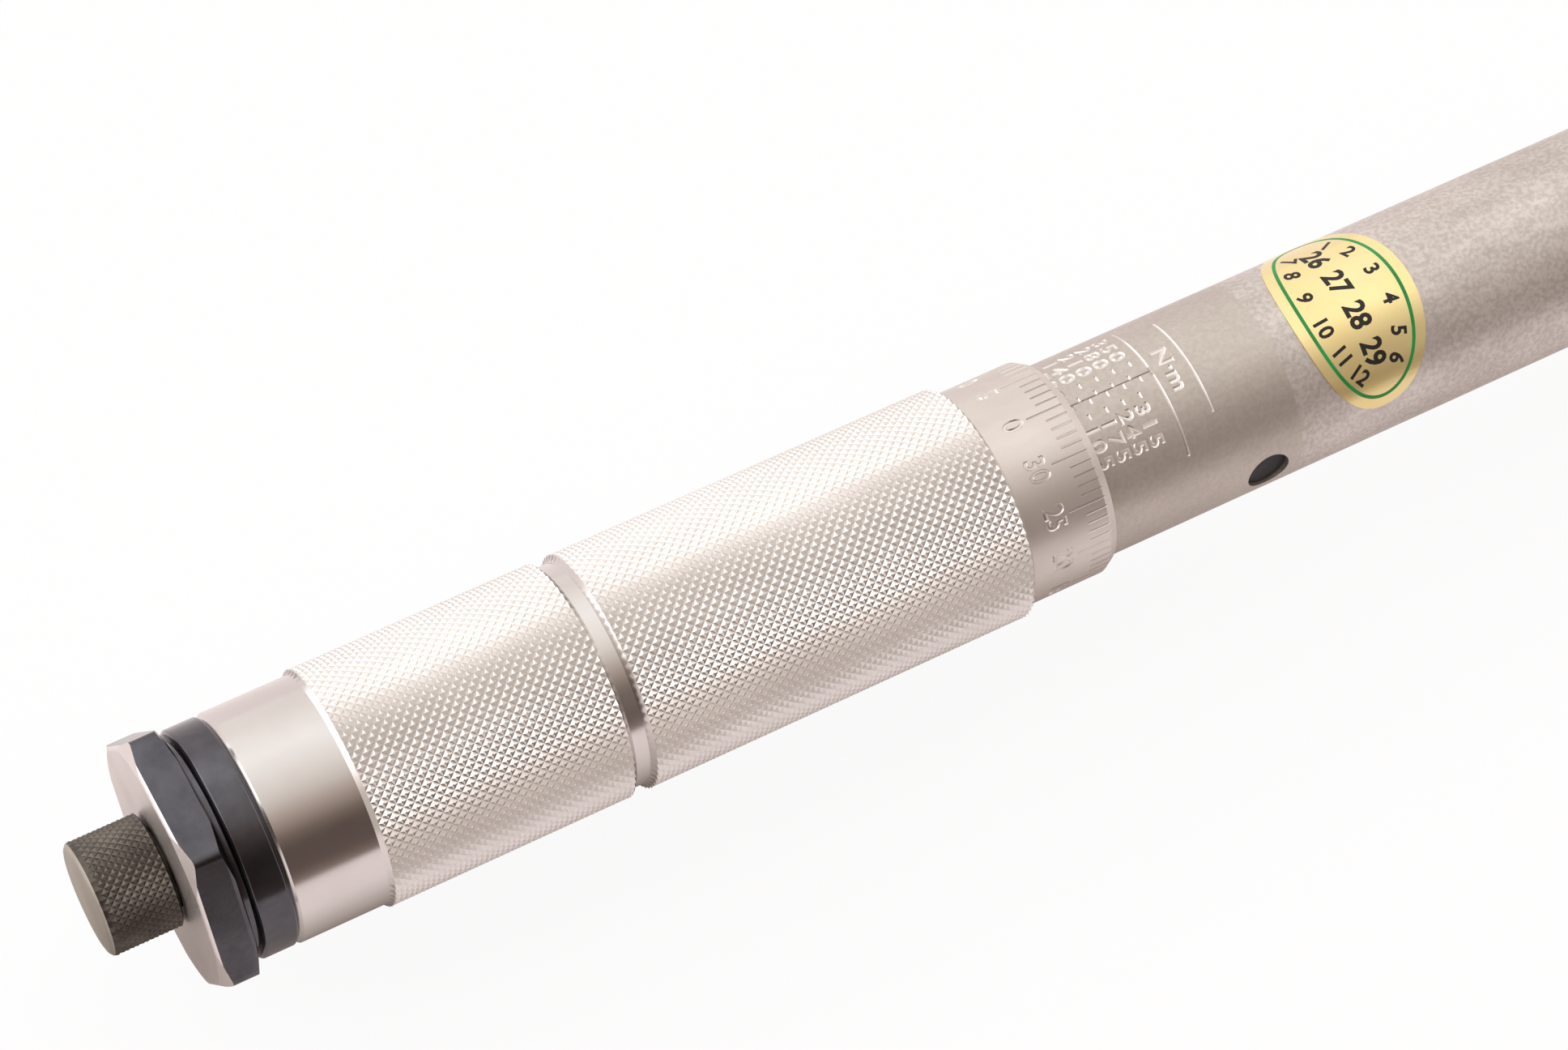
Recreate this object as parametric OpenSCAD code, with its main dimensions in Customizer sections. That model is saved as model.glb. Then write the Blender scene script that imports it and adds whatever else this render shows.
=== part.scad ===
// Micrometer torque wrench with a reversible ratchet head.
// The origin is the centre of the square drive's end face. The drive points
// down, the scale and the reversing lever face up, and +X runs from the
// handle to the head, so the handle lies at negative X.

/* [Square drive] */
// Width of the square drive across its flats
drive_square = 12.7; // [12.6:0.05:12.9]
// Length of the square drive below the head
drive_length = 15.5; // [14:0.5:18]
// Chamfer on the tip of the square drive
drive_chamfer = 0.8; // [0.4:0.1:1.2]
// Detent ball's radius as a share of the drive's width
ball_share = 0.19; // [0.17:0.01:0.2]
// Height of the detent ball above the drive's end face
ball_height = 7; // [6:0.5:8]

/* [Head] */
// Height by which the head's faces stand above the tube's surface
head_rise = 0.3; // [0.2:0.1:1.5]
// Radius that rounds the head's edges
head_edge = 3; // [1.5:0.5:3.5]
// Length of the neck between the tail and the tube
neck_length = 6; // [5:0.5:14]
// Thickness of the cover plate
plate_thickness = 2.5; // [2:0.1:3]

/* [Ratchet] */
// Radius over the tips of the ratchet gear's teeth
gear_radius = 13.5; // [12:0.1:15]
// Number of teeth on the ratchet gear
gear_teeth = 36; // [24:4:48]
// Depth of the teeth
tooth_depth = 1.3; // [0.8:0.1:1.5]
// Angle through which the pawl rocks when the lever is thrown
pawl_rock = 16; // [12:1:16]
// Angle through which the reversing lever turns
lever_throw = 50; // [40:1:56]
// Reach of the lever's thumb tab from its pivot
lever_reach = 17; // [14:0.5:20]

/* [Tube] */
// Outer diameter of the tube
tube_diameter = 25.4; // [22:0.1:28]
// Wall of the tube
tube_wall = 2; // [1.8:0.1:2.2]
// Length of the tube in front of the handle at the lowest setting
tube_shown = 430; // [380:1:500]
// Distance from the tube's front end to the head's pivot pin
pivot_setback = 13.3; // [12:0.1:18]
// Radius of the head's pivot pin
pivot_radius = 4; // [3.5:0.1:4.2]
// Diameter of the hole that shows the nut's retaining pin
pin_hole_diameter = 5.8; // [4.6:0.1:6]
// Distance from the handle's front edge to that hole at the lowest setting
pin_hole_offset = 22.3; // [20:0.1:26]

/* [Click mechanism] */
// Length of the head's tang behind its pivot
tang_length = 58; // [50:1:64]
// Side of the square block that tips at the set torque
block_size = 9; // [8:0.1:9.8]
// Length of the plunger that carries the block
plunger_length = 24; // [18:1:32]
// Length of the main spring at the lowest setting
spring_length = 100; // [95:1:120]
// Wire diameter of the main spring
spring_wire = 6; // [5:0.1:6]
// Number of turns of the main spring
spring_turns = 11; // [9:1:12]

/* [Handle] */
// Height of the graduated thimble above the tube's surface
thimble_rise = 1.4; // [1.2:0.05:2]
// Height of the knurled grip above the thimble
grip_rise = 1.15; // [0.8:0.05:1.6]
// Length of the thimble from its front edge to the grip
thimble_length = 12.5; // [11:0.1:16]
// Length of the front knurled band
front_band = 51.4; // [40:0.1:60]
// Length of the rear knurled band
rear_band = 31.4; // [24:0.1:40]
// Width of the groove between the knurled bands
groove_width = 3; // [2.4:0.1:4]
// Depth of that groove
groove_depth = 0.9; // [0.5:0.1:1.2]
// Length of the smooth ring behind the rear band
ring_length = 12; // [8:0.1:16]
// Depth of the smooth ring below the grip
ring_drop = 0.6; // [0.4:0.05:1]

/* [End cap and lock knob] */
// Height of the hexagon's flats above the round collar of the end cap
hex_rise = 0.7; // [0.4:0.05:1]
// Length of the hexagon
hex_length = 5.1; // [4:0.1:8]
// Length of the round collar of the end cap
collar_length = 4.6; // [3:0.1:8]
// Depth of that collar below the smooth ring
collar_drop = 0.1; // [0.1:0.05:0.3]
// Diameter of the lock knob
knob_diameter = 14.4; // [13.6:0.1:16]
// Length of the lock knob behind the hexagon
knob_length = 9.6; // [7:0.1:12]

/* [Adjusting screw] */
// Wall of the nut between the tube and the adjusting screw
nut_wall = 2.7; // [2.4:0.1:3.2]
// Advance of the adjusting screw in one turn
screw_lead = 2.1167; // [1.5:0.0001:2.2]
// Turns from the lowest to the highest setting
screw_turns = 4; // [3:1:4]
// Length of the nut that the adjusting screw runs in
nut_length = 20; // [16:1:24]
// Lock rod's radius as a share of the adjusting screw's
rod_share = 0.375; // [0.32:0.005:0.42]

/* [Inspection label] */
// Size of the oval label along the tube
label_length = 17.2; // [14:0.1:18]
// Size of the oval label round the tube
label_arc = 30.4; // [26:0.1:31]
// Distance from the pin's hole to the label's centre
label_ahead = 16.6; // [13:0.1:24]
// Turn of the label from the scale line
label_turn = 8; // [0:1:20]

/* [Hidden] */

// Finish of the curves
$fn = 96;
small_fn = 40;
shell_fn = 64;

// Clearances and the overrun of every cut
fit = 0.05;
slide_fit = 0.08;
gap = 0.3;
overrun = 1;

// Height of the tube's axis and the levels inside the head
tube_radius = tube_diameter / 2;
head_half = tube_radius + head_rise;
axis_z = drive_length + head_half;
head_top = drive_length + 2 * head_half;
plate_top = drive_length + plate_thickness;
top_wall = 3.2;
journal_length = 5;
journal_radius = 8;
boss_wall = 0.52;
boss_radius = drive_square / sqrt(2) + boss_wall;
side_dip = 0.02;
cavity_top = head_top - top_wall - journal_length;
gear_bottom = plate_top + gap;
gear_top = cavity_top - gap;

// The detent ball and its hole
ball_radius = drive_square * ball_share;
ball_depth_share = 0.66;
ball_centre = drive_square / 2 - ball_radius * ball_depth_share;
ball_lip = 0.4;
ball_mouth_share = 0.89;
ball_mouth = ball_radius * ball_mouth_share;
ball_wire_share = 0.166;
ball_wire = ball_radius * ball_wire_share;
ball_turns = 3;

// Layout inside the head
pocket_radius = 6.5;
pawl_pin_radius = 1.6;
pawl_pin_setback = 3.9;
pawl_x = -(gear_radius + pawl_pin_setback);
pawl_half_share = 0.704;
pawl_half = gear_radius * pawl_half_share;
pawl_play = 1.1;
pocket_width = 2 * (pawl_half + pawl_play);
pawl_back = 3.1;
pawl_notch = 0.9;
notch_count = 3;
pocket_back = 5.3;
lever_setback = 9.6;
lever_x = pawl_x - lever_setback;
lever_shaft = 4;
lever_hub = 7;
lever_height = 4;
lever_tab = 3.6;
lever_clip_thickness = 0.8;
lever_clip_radius = 5.6;
lever_plunger_radius = 1.5;
lever_plunger_reach = 6;
lever_spring_back = 2.7;
lever_spring_front = 0.8;
clip_groove_share = 0.8;
spring_radius_share = 0.6;
plate_screw_radius = 1.25;
plate_screw_head = 2.2;
plate_screw_length = 8;
plate_screw_wall = 1.55;
plate_screw_ring = gear_radius + plate_screw_radius + plate_screw_wall;
plate_screw_turn = 100;
tail_screw_wall = 1.05;
tail_screw_x = lever_x - pocket_radius - plate_screw_radius - tail_screw_wall;
socket_share = 0.7;

// Outline of the head, round the cover plate and its screws
plate_rim_flat = 0.2;
plate_rim = head_edge + plate_rim_flat;
plate_margin = plate_screw_head + gap;
head_radius = plate_screw_ring + plate_margin + plate_rim;
tail_setback = 1;
tail_offset = tail_setback - lever_x;
tail_radius = plate_margin + plate_rim - tail_screw_x - tail_offset;

// The neck, the tang and its pivot
tang_shoulder = 1.2;
neck_end_x = -(tail_offset + tail_radius + neck_length);
tube_front_x = neck_end_x - tang_shoulder;
pivot_x = tube_front_x - pivot_setback;
tang_end_x = pivot_x - tang_length;
bore_radius = tube_radius - tube_wall;
neck_drop = 1.2;
neck_radius = tube_radius - neck_drop;
tang_clearance = 0.9;
tang_radius = bore_radius - tang_clearance;
tang_width_share = 0.59;
tang_width = 2 * bore_radius * tang_width_share;
tang_behind_pivot = 12;
cheek_length = 3.5;
cheek_thickness = 1.7;
tail_margin = 0.5;
tail_width = block_size + 2 * tail_margin;
tail_height = block_size + 2 * (gap + cheek_thickness);
neck_edge = 1;

// The tipping block, plunger and push rod
block_front_x = tang_end_x - gap;
block_rear_x = block_front_x - block_size;
plunger_front_x = block_rear_x - fit;
plunger_rear_x = plunger_front_x - plunger_length;
guide_radius = bore_radius - slide_fit;
guide_length = 10;
push_rod_share = 0.56;
push_rod_radius = bore_radius * push_rod_share;
push_rod_nose_length = 9;
spring_clearance = 0.5;
spring_spigot = bore_radius - spring_clearance - spring_wire - gap;

// The handle, measured back from its front edge
handle_x = tube_front_x - tube_shown;
thimble_radius = tube_radius + thimble_rise;
grip_radius = thimble_radius + grip_rise;
ring_radius = grip_radius - ring_drop;
handle_bore = tube_radius + slide_fit;
thimble_edge = 1.2;
thimble_edge_drop = 0.7;
band_edge = 0.6;
front_band_x = handle_x - thimble_length;
groove_x = front_band_x - front_band;
rear_band_x = groove_x - groove_width;
ring_x = rear_band_x - rear_band;
handle_rear_x = ring_x - ring_length;

// The end cap
collar_radius = ring_radius - collar_drop;
hex_radius = (collar_radius + hex_rise) / cos(30);
cap_neck_length = 1;
cap_neck_drop = 1.45;
cap_neck_radius = collar_radius - cap_neck_drop;
cap_spigot = 10;
cap_web = 3;
hex_chamfer = 1;
hex_chamfer_drop = 2.4;
hex_turn = 2;
collar_edge = 0.4;
cap_neck_x = handle_rear_x - collar_length;
hex_x = cap_neck_x - cap_neck_length;
cap_rear_x = hex_x - hex_length;

// The lock knob and its rod
knob_radius = knob_diameter / 2;
knob_gap = 0.4;
knob_edge = 0.9;
knob_wall = 2;
knob_shank_length = 2.6;
knob_front_x = cap_rear_x - knob_gap;
knob_rear_x = knob_front_x - knob_length + knob_gap;
screw_radius = bore_radius - nut_wall;
rod_radius = screw_radius * rod_share;
rod_depth_share = 0.7;
rod_depth_in_knob = knob_length * rod_depth_share;
knob_shank = rod_radius + knob_wall;
knob_pin_radius = 0.8;
knob_pin_x = knob_front_x + knob_shank_length / 2;
knob_pin_length = 6.2;
knob_pin_play = 0.1;
rod_groove = rod_radius - knob_pin_radius - 2 * knob_pin_play;

// The adjusting screw, its nut and the rear spring seat
nut_x = handle_x + pin_hole_offset;
screw_lead_out = 5;
screw_relief = 0.8;
thread_length = 60;
tip_x = nut_x + nut_length / 2 + screw_lead_out;
screw_rear_x = cap_rear_x + cap_web;
thrust_radius = screw_radius / 2;
thrust_seat = 1.5;
thrust_x = tip_x + thrust_radius - thrust_seat;
seat_rear_x = thrust_x + thrust_radius - thrust_seat;
seat_flange = 6;
seat_spigot = 8;
spring_rear_x = seat_rear_x + seat_flange;
spring_front_x = spring_rear_x + spring_length;
washer_thickness = 3;
push_rod_rear_x = spring_front_x + washer_thickness;
rod_front_x = nut_x - nut_length / 2;
travel = screw_lead * screw_turns;
tube_end_play = 6.8;
tube_rear_x = handle_rear_x + cap_spigot + travel + tube_end_play;

// The nut's retaining pins
pin_radius = pin_hole_diameter / 2 - fit;
pin_recess = 0.7;
pin_depth_share = 0.6;
pin_depth = nut_wall * pin_depth_share;

// The springs
spring_rings = 14;
spring_sides = 8;
spring_radius = bore_radius - spring_clearance - spring_wire / 2;
small_wire = 0.5;
small_turns = 4;
end_pitch_share = 1.07;
small_rings = 10;
small_sides = 6;

// The label
label_thickness = 0.12;
label_lift = 0.02;
label_offset = pin_hole_offset + label_ahead;
label_points = 48;

// Colours
chrome = [0.80, 0.79, 0.77];
satin = [0.72, 0.70, 0.67];
black_oxide = [0.17, 0.17, 0.18];
bare_steel = [0.55, 0.55, 0.55];
gold_foil = [0.84, 0.73, 0.43];

// Places a shape drawn along +Z onto the tube's axis, where its +Z becomes +X
module on_axis() {
    translate([0, 0, axis_z]) rotate([0, 90, 0]) children();
}

// Turned piece on the tube's axis from points given as [radius, x]
module turned(points) {
    on_axis() rotate_extrude() polygon(points);
}

// Plain round bar or hole on the tube's axis between two places along X
module bar(radius, from_x, to_x) {
    on_axis() translate([0, 0, from_x]) cylinder(r = radius, h = to_x - from_x);
}

// Share of a spring's length that is wound after t turns, with closed end turns
function wind(t, turns, end_share) = t < 1 ? t * end_share
    : t > turns - 1 ? 1 - (turns - t) * end_share
    : end_share + (t - 1) / (turns - 2) * (1 - 2 * end_share);

// Closed tube swept along a helix about X
module coil(from_x, length, mean_radius, wire, turns, rings, sides) {
    wire_radius = wire / 2;
    pitch_length = length - wire;
    end_share = wire * end_pitch_share / pitch_length;
    steps = turns * rings;
    points = [for (i = [0 : steps], j = [0 : sides - 1])
        let (t = i / rings, a = 360 * t, b = 360 * j / sides,
             r = mean_radius + wire_radius * cos(b))
        [from_x + wire_radius + wind(t, turns, end_share) * pitch_length + wire_radius * sin(b),
         r * cos(a), r * sin(a)]];
    walls = [for (i = [0 : steps - 1], j = [0 : sides - 1])
        let (k = (j + 1) % sides)
        [i * sides + j, i * sides + k, (i + 1) * sides + k, (i + 1) * sides + j]];
    first = [for (j = [sides - 1 : -1 : 0]) j];
    last = [for (j = [0 : sides - 1]) steps * sides + j];
    polyhedron(points, concat([first], walls, [last]), convexity = 10);
}

// Outline of the head: a large and a small circle joined by straight sides
module pear(big, small, offset_x) {
    slope = asin((big - small) / offset_x);
    big_reach = big - side_dip;
    small_reach = small - side_dip;
    circle(r = big);
    translate([-offset_x, 0]) circle(r = small);
    polygon([[-big_reach * sin(slope), big_reach * cos(slope)],
             [-offset_x - small_reach * sin(slope), small_reach * cos(slope)],
             [-offset_x - small_reach * sin(slope), -small_reach * cos(slope)],
             [-big_reach * sin(slope), -big_reach * cos(slope)]]);
}

// Disc of the head's thickness with rounded edges
module rounded_disc(radius) {
    arc = [0 : 15 : 90];
    rotate_extrude($fn = shell_fn) polygon(concat(
        [[0, drive_length]],
        [for (a = arc) [radius - head_edge + head_edge * sin(a), drive_length + head_edge - head_edge * cos(a)]],
        [for (a = arc) [radius - head_edge + head_edge * cos(a), head_top - head_edge + head_edge * sin(a)]],
        [[0, head_top]]));
}

// Centres of the screws that hold the cover plate
function screw_places() = [
    [plate_screw_ring, 0],
    [plate_screw_ring * cos(plate_screw_turn), plate_screw_ring * sin(plate_screw_turn)],
    [plate_screw_ring * cos(plate_screw_turn), -plate_screw_ring * sin(plate_screw_turn)],
    [tail_screw_x, 0]];

// Steel tube that carries everything, with the pivot and retaining pin holes
module tube() {
    mouth = 0.5;
    color(satin) difference() {
        turned([[bore_radius + mouth, tube_front_x], [bore_radius, tube_front_x - mouth],
                [bore_radius, tube_rear_x], [tube_radius, tube_rear_x],
                [tube_radius, tube_front_x - mouth], [tube_radius - mouth, tube_front_x]]);
        translate([pivot_x, 0, 0])
            cylinder(r = pivot_radius + fit, h = axis_z + tube_radius + overrun);
        translate([nut_x, 0, axis_z]) rotate([90, 0, 0])
            cylinder(d = pin_hole_diameter, h = tube_diameter + overrun, center = true, $fn = small_fn);
    }
}

// Nut fixed in the tube, in which the adjusting screw turns
module screw_nut() {
    color(bare_steel) difference() {
        bar(bore_radius - fit, nut_x - nut_length / 2, nut_x + nut_length / 2);
        bar(screw_radius + fit, nut_x - nut_length / 2 - overrun, nut_x + nut_length / 2 + overrun);
        for (side = [-1, 1])
            translate([nut_x, side * (bore_radius - pin_depth - fit), axis_z]) rotate([-side * 90, 0, 0])
                cylinder(r = pin_radius + fit, h = tube_wall + pin_depth, $fn = small_fn);
    }
}

// Two pins that hold the nut, set below the tube's surface
module nut_pins() {
    color(black_oxide) for (side = [-1, 1])
        translate([nut_x, side * (bore_radius - pin_depth), axis_z]) rotate([-side * 90, 0, 0])
            cylinder(r = pin_radius, h = pin_depth + tube_wall - pin_recess, $fn = small_fn);
}

// Cross pin on which the head swings, flush with the tube
module pivot_pin() {
    color(chrome) intersection() {
        translate([pivot_x, 0, axis_z]) cylinder(r = pivot_radius, h = tube_diameter, center = true);
        bar(tube_radius, pivot_x - pivot_radius - overrun, pivot_x + pivot_radius + overrun);
    }
}

// Thin oval label, curved round the tube
module inspection_label() {
    half_chord = tube_radius * sin(label_arc / 2 / tube_radius * 180 / PI);
    outer = tube_radius + label_lift + label_thickness;
    color(gold_foil) intersection() {
        translate([handle_x + label_offset, 0, axis_z]) rotate([label_turn, 0, 0])
            linear_extrude(height = outer + overrun) polygon([for (i = [0 : label_points - 1])
                let (a = 360 * i / label_points) [label_length / 2 * cos(a), half_chord * sin(a)]]);
        difference() {
            bar(outer, handle_x + label_offset - label_length, handle_x + label_offset + label_length);
            bar(tube_radius + label_lift, handle_x + label_offset - label_length - overrun,
                handle_x + label_offset + label_length + overrun);
        }
    }
}

// Knurled grip and graduated thimble in one sleeve, which screws along the tube
module grip_sleeve() {
    groove_radius = grip_radius - groove_depth;
    color(chrome) turned([
        [handle_bore, handle_x],
        [thimble_radius - thimble_edge_drop, handle_x],
        [thimble_radius, handle_x - thimble_edge],
        [thimble_radius, front_band_x + band_edge],
        [grip_radius, front_band_x],
        [grip_radius, groove_x],
        [groove_radius, groove_x - band_edge],
        [groove_radius, rear_band_x + band_edge],
        [grip_radius, rear_band_x],
        [grip_radius, ring_x],
        [ring_radius, ring_x - band_edge],
        [ring_radius, handle_rear_x],
        [handle_bore, handle_rear_x]]);
}

// Black end cap: collar, neck and hexagon, with a spigot inside the sleeve
module end_cap() {
    spigot_radius = handle_bore - fit;
    color(black_oxide) difference() {
        union() {
            turned([
                [0, handle_rear_x + cap_spigot],
                [spigot_radius, handle_rear_x + cap_spigot],
                [spigot_radius, handle_rear_x],
                [collar_radius - collar_edge, handle_rear_x],
                [collar_radius, handle_rear_x - collar_edge],
                [collar_radius, cap_neck_x + collar_edge],
                [collar_radius - collar_edge, cap_neck_x],
                [cap_neck_radius, cap_neck_x],
                [cap_neck_radius, hex_x - fit],
                [0, hex_x - fit]]);
            intersection() {
                on_axis() rotate([0, 0, 30 + hex_turn]) translate([0, 0, cap_rear_x])
                    cylinder(r = hex_radius, h = hex_length, $fn = 6);
                turned([[0, hex_x],
                        [hex_radius - hex_chamfer_drop, hex_x],
                        [hex_radius, hex_x - hex_chamfer],
                        [hex_radius, cap_rear_x + hex_chamfer],
                        [hex_radius - hex_chamfer_drop, cap_rear_x],
                        [0, cap_rear_x]]);
            }
        }
        bar(screw_radius + fit, screw_rear_x, handle_rear_x + cap_spigot + overrun);
        bar(knob_shank + gap, cap_rear_x - overrun, screw_rear_x + overrun);
    }
}

// Hollow screw that turns with the handle and presses on the rear spring seat
module adjusting_screw() {
    relief_x = tip_x - thread_length;
    color(bare_steel) difference() {
        turned([
            [0, tip_x],
            [screw_radius - screw_relief, tip_x],
            [screw_radius, tip_x - screw_relief],
            [screw_radius, relief_x],
            [screw_radius - screw_relief, relief_x - screw_relief],
            [screw_radius - screw_relief, handle_rear_x + cap_spigot + 2 * screw_relief],
            [screw_radius, handle_rear_x + cap_spigot + screw_relief],
            [screw_radius, screw_rear_x],
            [0, screw_rear_x]]);
        translate([thrust_x, 0, axis_z]) sphere(r = thrust_radius + fit);
        bar(rod_radius + slide_fit, screw_rear_x - overrun, rod_front_x + gap);
    }
}

// Rod inside the adjusting screw, drawn back when the lock knob is loosened
module lock_rod() {
    rod_rear_x = knob_front_x - rod_depth_in_knob;
    groove_half = knob_pin_radius + knob_pin_play;
    color(bare_steel) turned([
        [0, rod_front_x],
        [rod_radius / 2, rod_front_x],
        [rod_radius, rod_front_x - rod_radius],
        [rod_radius, knob_pin_x + groove_half],
        [rod_groove, knob_pin_x + groove_half],
        [rod_groove, knob_pin_x - groove_half],
        [rod_radius, knob_pin_x - groove_half],
        [rod_radius, rod_rear_x],
        [0, rod_rear_x]]);
}

// Knurled lock knob at the very end, with a shank in the end cap
module lock_knob() {
    color(black_oxide) difference() {
        turned([
            [0, knob_rear_x],
            [knob_radius - knob_edge, knob_rear_x],
            [knob_radius, knob_rear_x + knob_edge],
            [knob_radius, knob_front_x],
            [knob_shank, knob_front_x],
            [knob_shank, knob_front_x + knob_shank_length],
            [0, knob_front_x + knob_shank_length]]);
        bar(rod_radius + slide_fit, knob_front_x - rod_depth_in_knob - gap,
            knob_front_x + knob_shank_length + overrun);
        translate([knob_pin_x, rod_radius, axis_z])
            cylinder(r = knob_pin_radius + fit, h = 2 * knob_shank + overrun, center = true, $fn = small_fn);
    }
}

// Small pin in the knob that rides in the rod's groove
module knob_pin() {
    color(bare_steel) translate([knob_pin_x, rod_radius, axis_z])
        cylinder(r = knob_pin_radius, h = knob_pin_length, center = true, $fn = small_fn);
}

// Seat behind the main spring, pushed by the screw through a ball
module rear_spring_seat() {
    color(bare_steel) difference() {
        turned([
            [0, seat_rear_x],
            [guide_radius, seat_rear_x],
            [guide_radius, spring_rear_x],
            [spring_spigot, spring_rear_x],
            [spring_spigot, spring_rear_x + seat_spigot],
            [0, spring_rear_x + seat_spigot]]);
        translate([thrust_x, 0, axis_z]) sphere(r = thrust_radius + fit);
    }
}

// Ball between the adjusting screw and the rear spring seat
module thrust_ball() {
    color(chrome) translate([thrust_x, 0, axis_z]) sphere(r = thrust_radius);
}

// Main compression spring
module main_spring() {
    color(bare_steel) translate([0, 0, axis_z])
        coil(spring_rear_x, spring_length, spring_radius, spring_wire, spring_turns, spring_rings, spring_sides);
}

// Hardened washer between the spring and the push rod
module spring_washer() {
    color(bare_steel) difference() {
        bar(guide_radius, spring_front_x, push_rod_rear_x);
        bar(spring_spigot + fit, spring_front_x - overrun, push_rod_rear_x + overrun);
    }
}

// Long rod that carries the spring's force forward to the plunger
module push_rod() {
    color(bare_steel) turned([
        [0, push_rod_rear_x - push_rod_nose_length],
        [spring_spigot, push_rod_rear_x - push_rod_nose_length],
        [spring_spigot, push_rod_rear_x],
        [guide_radius, push_rod_rear_x],
        [guide_radius, push_rod_rear_x + guide_length],
        [push_rod_radius, push_rod_rear_x + guide_length],
        [push_rod_radius, plunger_rear_x - guide_length],
        [guide_radius, plunger_rear_x - guide_length],
        [guide_radius, plunger_rear_x],
        [0, plunger_rear_x]]);
}

// Plunger with two cheeks that keep the tipping block in place
module plunger() {
    slot = block_size + 2 * gap;
    color(bare_steel) difference() {
        union() {
            bar(guide_radius, plunger_rear_x, plunger_front_x);
            translate([plunger_front_x - overrun, -tail_width / 2, axis_z - tail_height / 2])
                cube([cheek_length + overrun, tail_width, tail_height]);
        }
        translate([plunger_front_x, -bore_radius, axis_z - slot / 2])
            cube([cheek_length + overrun, 2 * bore_radius, slot]);
    }
}

// Square block between plunger and tang, which tips at the set torque
module toggle_block() {
    color(chrome) translate([block_rear_x, -block_size / 2, axis_z - block_size / 2]) cube(block_size);
}

// Forged head with its neck and the tang that reaches into the tube
module ratchet_head() {
    slot = block_size + 2 * gap;
    tang_rear_x = pivot_x - tang_behind_pivot;
    color(chrome) difference() {
        union() {
            hull() {
                rounded_disc(head_radius);
                translate([-tail_offset, 0, 0]) rounded_disc(tail_radius);
            }
            turned([
                [0, neck_end_x],
                [neck_radius - neck_edge, neck_end_x],
                [neck_radius, neck_end_x + neck_edge],
                [neck_radius, -tail_offset],
                [0, -tail_offset]]);
            intersection() {
                bar(tang_radius, tang_rear_x, -tail_offset);
                translate([tang_rear_x, -tang_width / 2, axis_z - bore_radius])
                    cube([-tang_rear_x, tang_width, 2 * bore_radius]);
            }
            translate([tang_end_x - cheek_length, -tail_width / 2, axis_z - tail_height / 2])
                cube([tang_rear_x - tang_end_x + cheek_length + overrun, tail_width, tail_height]);
        }
        head_hollows();
        translate([pivot_x, 0, axis_z])
            cylinder(r = pivot_radius + fit, h = tube_diameter + overrun, center = true);
        translate([tang_end_x - cheek_length - overrun, -bore_radius, axis_z - slot / 2])
            cube([cheek_length + overrun, 2 * bore_radius, slot]);
    }
}

// Everything that is hollow inside the head
module head_hollows() {
    translate([0, 0, drive_length - overrun]) linear_extrude(height = plate_thickness + overrun)
        pear(head_radius - plate_rim + fit, tail_radius - plate_rim + fit, tail_offset);
    translate([0, 0, plate_top - overrun]) cylinder(r = gear_radius + gap, h = cavity_top - plate_top + overrun);
    translate([0, 0, plate_top]) cylinder(r = journal_radius + fit, h = head_top - top_wall - plate_top);
    translate([pawl_x - pocket_back, -pocket_width / 2, plate_top - overrun])
        cube([pocket_back - pawl_x, pocket_width, cavity_top - plate_top + overrun]);
    translate([lever_x, 0, plate_top - overrun])
        cylinder(r = pocket_radius, h = cavity_top - plate_top + overrun);
    translate([lever_x, 0, plate_top]) cylinder(r = lever_shaft + fit, h = 2 * head_half);
    translate([pawl_x, 0, plate_top]) cylinder(r = pawl_pin_radius + fit, h = cavity_top - plate_top + top_wall);
    for (place = screw_places())
        translate([place[0], place[1], plate_top - overrun])
            cylinder(r = plate_screw_radius + fit, h = plate_screw_length + overrun, $fn = small_fn);
}

// Plate that closes the underside of the head and guides the drive
module cover_plate() {
    color(chrome) difference() {
        translate([0, 0, drive_length]) linear_extrude(height = plate_thickness)
            pear(head_radius - plate_rim, tail_radius - plate_rim, tail_offset);
        translate([0, 0, drive_length - overrun])
            cylinder(r = boss_radius + fit, h = plate_thickness + 2 * overrun);
        for (place = screw_places()) translate([place[0], place[1], drive_length]) {
            translate([0, 0, -overrun])
                cylinder(r = plate_screw_radius + fit, h = plate_thickness + 2 * overrun, $fn = small_fn);
            translate([0, 0, -fit])
                cylinder(r1 = plate_screw_head + fit, r2 = plate_screw_radius + fit,
                         h = plate_screw_head - plate_screw_radius + fit, $fn = small_fn);
        }
    }
}

// Countersunk screws of the cover plate, with a hexagon socket
module cover_screws() {
    head_height = plate_screw_head - plate_screw_radius;
    color(black_oxide) for (place = screw_places()) translate([place[0], place[1], drive_length])
        difference() {
            union() {
                cylinder(r1 = plate_screw_head, r2 = plate_screw_radius, h = head_height, $fn = small_fn);
                cylinder(r = plate_screw_radius, h = plate_screw_length, $fn = small_fn);
            }
            translate([0, 0, -overrun]) cylinder(r = plate_screw_radius * socket_share, h = overrun + head_height, $fn = 6);
        }
}

// Pin on which the pawl rocks
module pawl_pin() {
    color(bare_steel) translate([pawl_x, 0, plate_top + fit])
        cylinder(r = pawl_pin_radius, h = cavity_top - plate_top + top_wall / 2, $fn = small_fn);
}

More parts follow.
